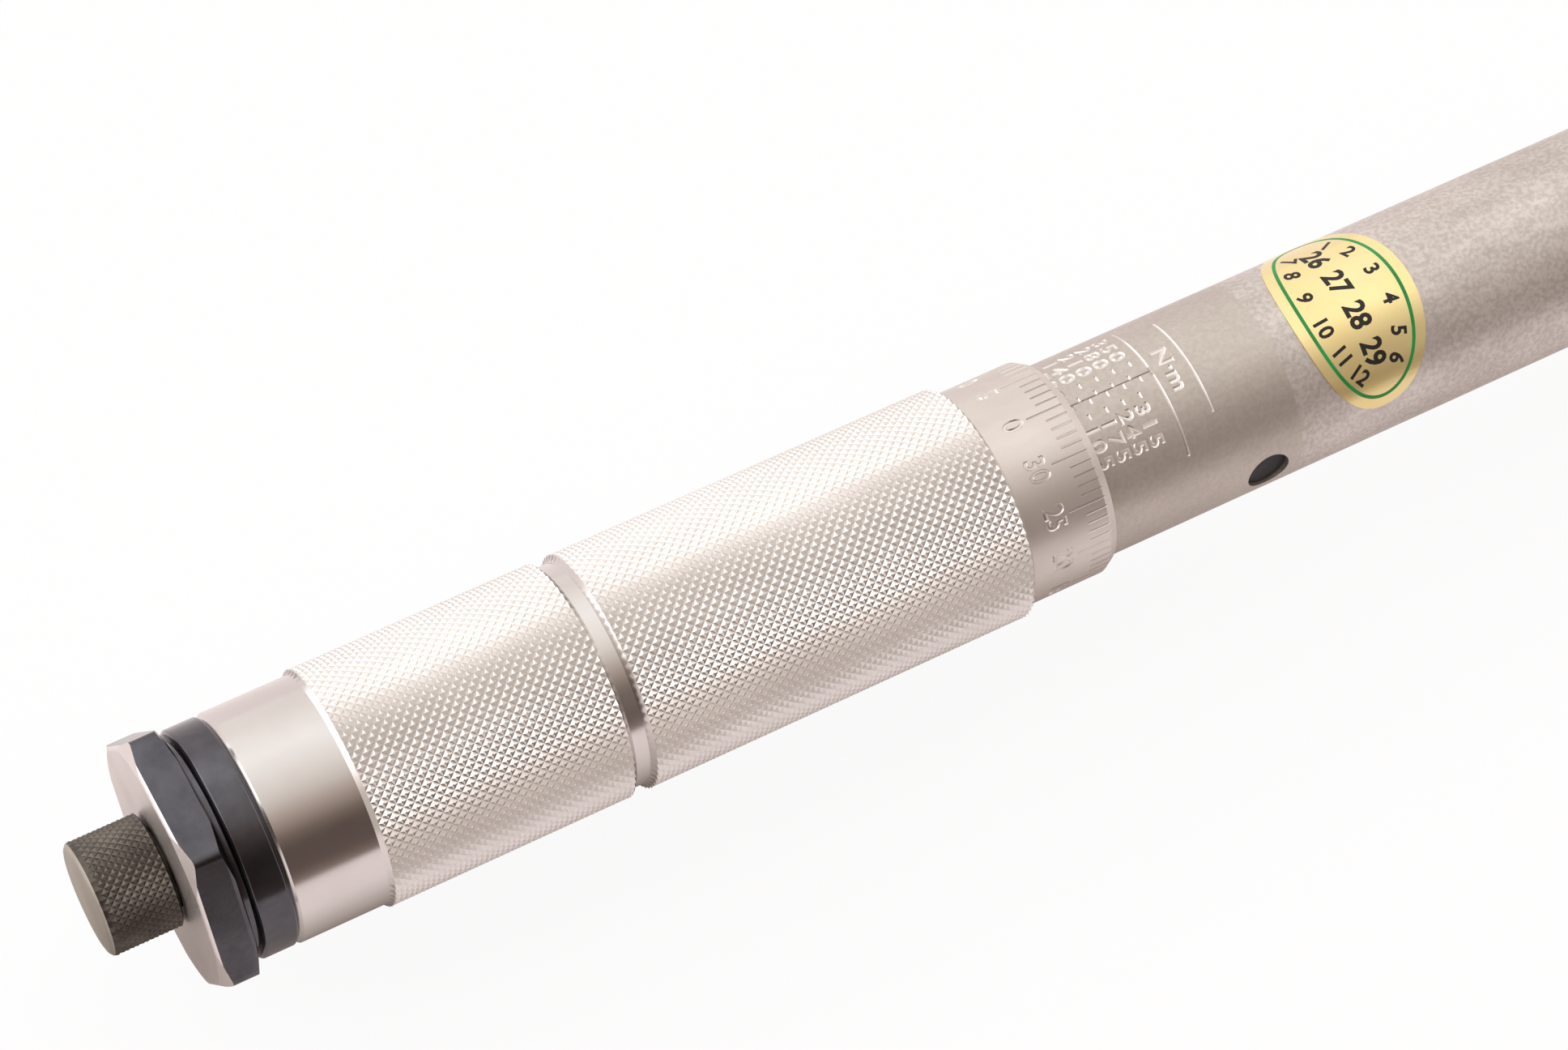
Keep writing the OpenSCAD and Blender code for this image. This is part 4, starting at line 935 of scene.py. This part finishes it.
def make_room():
    """World light of a room with two brighter walls, which the camera itself sees as white."""
    world = bpy.data.worlds.new("studio")
    bpy.context.scene.world = world
    world.use_nodes = True
    world.node_tree.nodes.clear()
    direction = add(world, "ShaderNodeTexCoord").outputs["Generated"]
    split = add(world, "ShaderNodeSeparateXYZ", {0: direction})
    front = add(world, "ShaderNodeMath", {0: split.outputs["Y"], 1: -1.0}, operation="MULTIPLY")
    around = add(world, "ShaderNodeMath", {0: split.outputs["Z"], 1: front.outputs[0]}, operation="ARCTAN2")
    share = add(world, "ShaderNodeMapRange", {"Value": around.outputs[0], "From Min": 0.0, "From Max": math.pi})
    sideways = add(world, "ShaderNodeMath", {0: split.outputs["X"]}, operation="ABSOLUTE")
    beside = add(world, "ShaderNodeMapRange", {"Value": sideways.outputs[0], "From Min": WALLS_FROM,
                                               "From Max": WALLS_TO}, interpolation_type="SMOOTHSTEP")
    headward = add(world, "ShaderNodeMapRange", {"Value": split.outputs["X"], "From Min": -WALLS_FROM,
                                                 "From Max": WALLS_FROM})
    lights = []
    for stops, strength in ((ROOM, ROOM_STRENGTH), (WINDOW_WALL, WINDOW_STRENGTH),
                            (HEAD_WALL, HEAD_WALL_STRENGTH)):
        colour = add(world, "ShaderNodeValToRGB", {"Fac": share.outputs[0]}, stops=stops)
        light = add(world, "ShaderNodeBackground", {"Color": colour.outputs["Color"], "Strength": strength})
        lights.append(light.outputs[0])
    over, window, head_wall = lights
    walls = add(world, "ShaderNodeMixShader", {0: headward.outputs[0], 1: window, 2: head_wall})
    lit = add(world, "ShaderNodeMixShader", {0: beside.outputs[0], 1: over, 2: walls.outputs[0]})
    white = add(world, "ShaderNodeBackground", {"Color": (1, 1, 1, 1), "Strength": 1.0})
    paths = add(world, "ShaderNodeLightPath")
    mix = add(world, "ShaderNodeMixShader", {0: paths.outputs["Is Camera Ray"], 1: lit.outputs[0],
                                             2: white.outputs[0]})
    add(world, "ShaderNodeOutputWorld", {"Surface": mix.outputs[0]})


FILM_WIDTH = 36.0
FOCAL_PIXELS, PICTURE_PIXELS = 6000, 1936
CAMERA_PLACE = (-0.678155, -0.265198, 0.527265)
CAMERA_TURN = (32.58343, -1.63871, -28.57694)


def make_camera():
    """Camera at the photograph's place, found from the outlines of the handle and the tube."""
    camera = bpy.data.cameras.new("camera")
    camera.sensor_width = FILM_WIDTH
    camera.lens = FILM_WIDTH * FOCAL_PIXELS / PICTURE_PIXELS
    camera.clip_start = 0.01
    holder = bpy.data.objects.new("camera", camera)
    bpy.context.scene.collection.objects.link(holder)
    holder.location = CAMERA_PLACE
    holder.rotation_euler = [math.radians(turn) for turn in CAMERA_TURN]
    bpy.context.scene.camera = holder


make_camera()
make_tube()
make_handle()
make_end_cap()
make_lock_knob()
make_label()

dressed("nut_pins", "tube_pins", "body", "black_oxide", PIN_BLACK, 0.25)
dressed("pivot_pin", "head_pivot", "body", "drive_steel", DRIVE_STEEL, 0.3)
dressed("ratchet_head", "forged_head", "head", "head_chrome", HEAD_CHROME, 0.35, 40, 40)
dressed("cover_plate", "head_plate", "head", "head_chrome", HEAD_CHROME, 0.2)
dressed("cover_screws", "plate_screws", "head", "black_oxide", BLACK_OXIDE, 0.12)
dressed("drive_gear", "square_drive", "drive", "drive_steel", DRIVE_STEEL, 0.2)
dressed("detent_ball", "drive_ball", "ball", "ball_steel", BALL_STEEL, 0)
dressed("reversing_lever", "ratchet_lever", "lever", "head_chrome", HEAD_CHROME, 0.35)

INNER_FINISHES = {
    "screw_nut": BARE_STEEL, "adjusting_screw": BARE_STEEL, "lock_rod": BARE_STEEL, "knob_pin": BARE_STEEL,
    "rear_spring_seat": BARE_STEEL, "thrust_ball": BALL_STEEL, "main_spring": SPRING_STEEL,
    "spring_washer": BARE_STEEL, "push_rod": BARE_STEEL, "plunger": BARE_STEEL, "toggle_block": DRIVE_STEEL,
    "pawl_pin": BARE_STEEL, "detent_spring": SPRING_STEEL, "pawl": BARE_STEEL, "lever_clip": SPRING_STEEL,
    "lever_plunger": BARE_STEEL, "lever_spring": SPRING_STEEL}
for name, material in INNER_FINISHES.items():
    painted(nodes[name], material)

make_floor()
make_room()
bpy.context.scene.view_settings.view_transform = "Standard"
